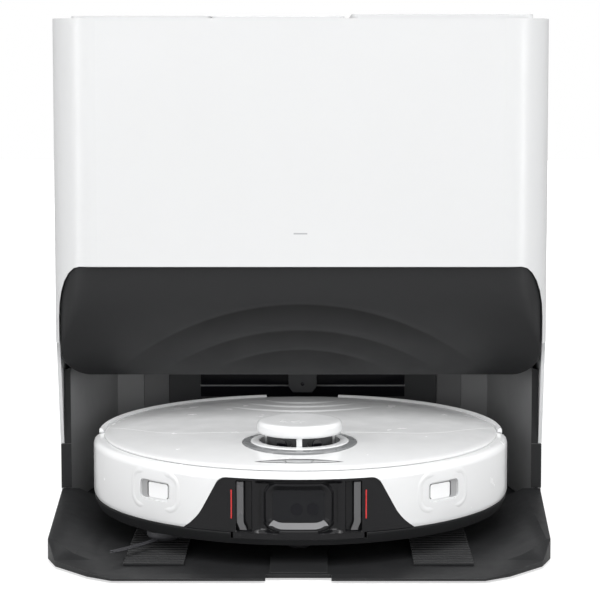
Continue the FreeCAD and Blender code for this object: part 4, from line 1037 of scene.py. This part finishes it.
def make_bay_details():
    """Painted shade over the bay's back wall, the dark service slot in it, the slot's ledge
    and the beacon's lamp.
    """
    # a dark sheet of painted shade over the back wall, which the dock's roof keeps from the
    # light
    block("painted_shade_back_wall", (-127.5, 127.5), (165.2, 166.9), (LINER_LOW, LINER_HIGH),
          "station", "dark_liner", MATERIALS["painted_shade_dark"])
    block("bay_slot", (-97, 97), (163.9, 165.4), (73, 96), "station", "dark_liner",
          MATERIALS["lens_dark"])
    block("bay_ledge", (-97.5, 97.5), (162.4, 165.2), (83, 84.4), "station",
          "dark_liner", edge=0.3)
    make_beacon_lamp()


def make_beacon_lamp():
    """A small domed lamp on the tab in the middle of the back wall."""
    sides, radius, height = 20, 1.6, 88.6
    turns = [2 * math.pi * i / sides for i in range(sides)]
    loop = [(radius * math.cos(a), radius * math.sin(a)) for a in turns]
    points = [(0, 140.4, height)] + [(x, 140.6, height + z) for x, z in loop]
    points += [(x * 1.1, 141.2, height + z * 1.1) for x, z in loop]
    piece("beacon_lamp", points, button_faces(sides), "station", "smoked_glass",
          MATERIALS["lens_dark"])


# ---- soft pieces -------------------------------------------------------------------------

def make_mop_pad():
    """A napped pad whose rim rolls under, with stitched channels across it.

    Its front and back are straight, and its ends follow a circle round the robot.
    """
    rows, columns, inset = 45, 121, 1.6
    front, back, radius = PAD_FRONT + inset, PAD_BACK - inset, PAD_RADIUS - inset
    rolled, middle = 3, ROBOT_Z + 6.5
    outer, inner = [], []
    for i in range(rows):
        y = front + (back - front) * i / (rows - 1)
        half = math.sqrt(radius ** 2 - y * y)
        top, low = [], []
        for j in range(columns):
            x = half * (2 * j / (columns - 1) - 1)
            border = max(0, min(half - abs(x), y - front, back - y))
            roll = math.sqrt(1 - (1 - min(1, border / rolled)) ** 2)
            channel = 0.35 * math.exp(-((y - 109) % 13 - 6.5) ** 2 / 0.8)
            tufts = 0.12 * math.sin(1.9 * x) * math.sin(1.7 * y)
            top.append((x, ROBOT_Y + y, middle + 1.05 * roll))
            low.append((x, ROBOT_Y + y, middle - (1.4 - channel + tufts) * roll))
        outer.append(low)
        inner.append(top)
    points, faces = thick_sheet(outer, inner)
    pad = piece("mop_pad_cloth", points, faces, "mop", "mop_cloth")
    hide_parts("mop_pad")


def boxy(value):
    """Push a sine outwards, which makes a round section nearly square."""
    return math.copysign(abs(value) ** 0.55, value)


def make_dust_bag():
    """A paper bag with gusset creases down its sides, slack at the bottom."""
    low, high = Vector((-66, -34, 252)), Vector((29, 150, 405))
    middle = (low + high) / 2
    half_x, half_y = 45, 89
    rows, columns = 60, 144
    points = []
    for i in range(rows):
        t = i / (rows - 1)
        swell = math.sin(math.pi * t) ** 0.35
        cap = min(1, math.sqrt(max(0.0, 1 - (2 * t - 1) ** 8)) + 0.02)
        for j in range(columns):
            a = 2 * math.pi * j / columns
            x = boxy(math.cos(a))
            y = boxy(math.sin(a))
            gusset = 7 * math.exp(-(y * 92 / 13) ** 2) * swell
            crumple = (1.1 * math.sin(5 * a + 9 * t) + 0.7 * math.sin(11 * a - 17 * t)
                       + 0.5 * math.sin(23 * t + 3 * a))
            out_x = (half_x - gusset + crumple) * (0.9 + 0.1 * swell) * cap
            out_y = (half_y + 0.8 * crumple) * (0.94 + 0.06 * swell) * cap
            sag = 1.6 * math.sin(3 * a) * (1 - t)
            points.append((middle.x + x * out_x, middle.y + y * out_y,
                           low.z + 2 + (high.z - low.z - 4) * t + sag * cap))
    faces = grid_faces(rows, columns, wrap=True)
    for row in (0, rows - 1):
        points.append((middle.x, middle.y, points[row * columns][2]))
        centre = len(points) - 1
        faces += [(row * columns + j, row * columns + (j + 1) % columns, centre)
                  for j in range(columns)]
    bag = piece("dust_bag_paper", points, faces, "station", "paper_bag", angle=60)
    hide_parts("dust_bag")


# ---- side brush --------------------------------------------------------------------------

def make_side_brush():
    """The brush's hub with three tufts of curved whiskers."""
    centre = (-108, ROBOT_Y - 108, ROBOT_Z)
    profile = rounded_profile([(0.01, 4), (10.5, 4), (14, 7), (14, 11.4), (4, 11.4),
                               (4, 20), (0.01, 20)], 1.2, 4)
    points, faces = lathe(profile, centre, 48)
    for i in range(3):
        for j in range(WHISKERS):
            add_bristle(points, faces, centre, math.radians(120 * i + 1.5), j)
    brush = piece("side_brush_whiskers", points, faces, "side_brush", "bristles")
    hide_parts("side_brush")


def add_bristle(points, faces, centre, turn, index):
    """One thin whisker, a six-sided tube that curves as it leaves the hub."""
    sides, steps = 6, 9
    root, reach, level = 9, 64, 4.7 + 0.45 * (index % 4)
    from_middle = index - WHISKERS // 2
    bend = 0.9 * math.sin(1.3 * index) - 8
    start = len(points)
    for k in range(steps):
        t = k / (steps - 1)
        x = root + (reach - root - 0.7 * abs(from_middle)) * t
        side = 0.5 * from_middle * (0.55 + 0.75 * t) + bend * t * t
        thick = 0.5 * (1 - 0.45 * t)
        for m in range(sides):
            b = 2 * math.pi * m / sides
            y = side + thick * math.cos(b)
            points.append((centre[0] + x * math.cos(turn) - y * math.sin(turn),
                           centre[1] + x * math.sin(turn) + y * math.cos(turn),
                           centre[2] + level + thick * math.sin(b)))
    faces += [tuple(start + i for i in face) for face in grid_faces(steps, sides, wrap=True)]
    faces.append(tuple(start + m for m in range(sides)))
    faces.append(tuple(start + (steps - 1) * sides + m for m in reversed(range(sides))))


# ---- make it all -------------------------------------------------------------------------

make_camera()
make_studio()
make_floor()
MATERIALS = make_materials()
dress_cad()
soften_cad()
make_hood()
make_sensor_frame()
make_turret_cap()
make_rotor_eyes()
make_rear_rim()
make_button_outline()
make_window_details()
make_lid_ripples()
make_bay_details()
make_bay_edges()
make_mop_pad()
make_dust_bag()
make_side_brush()
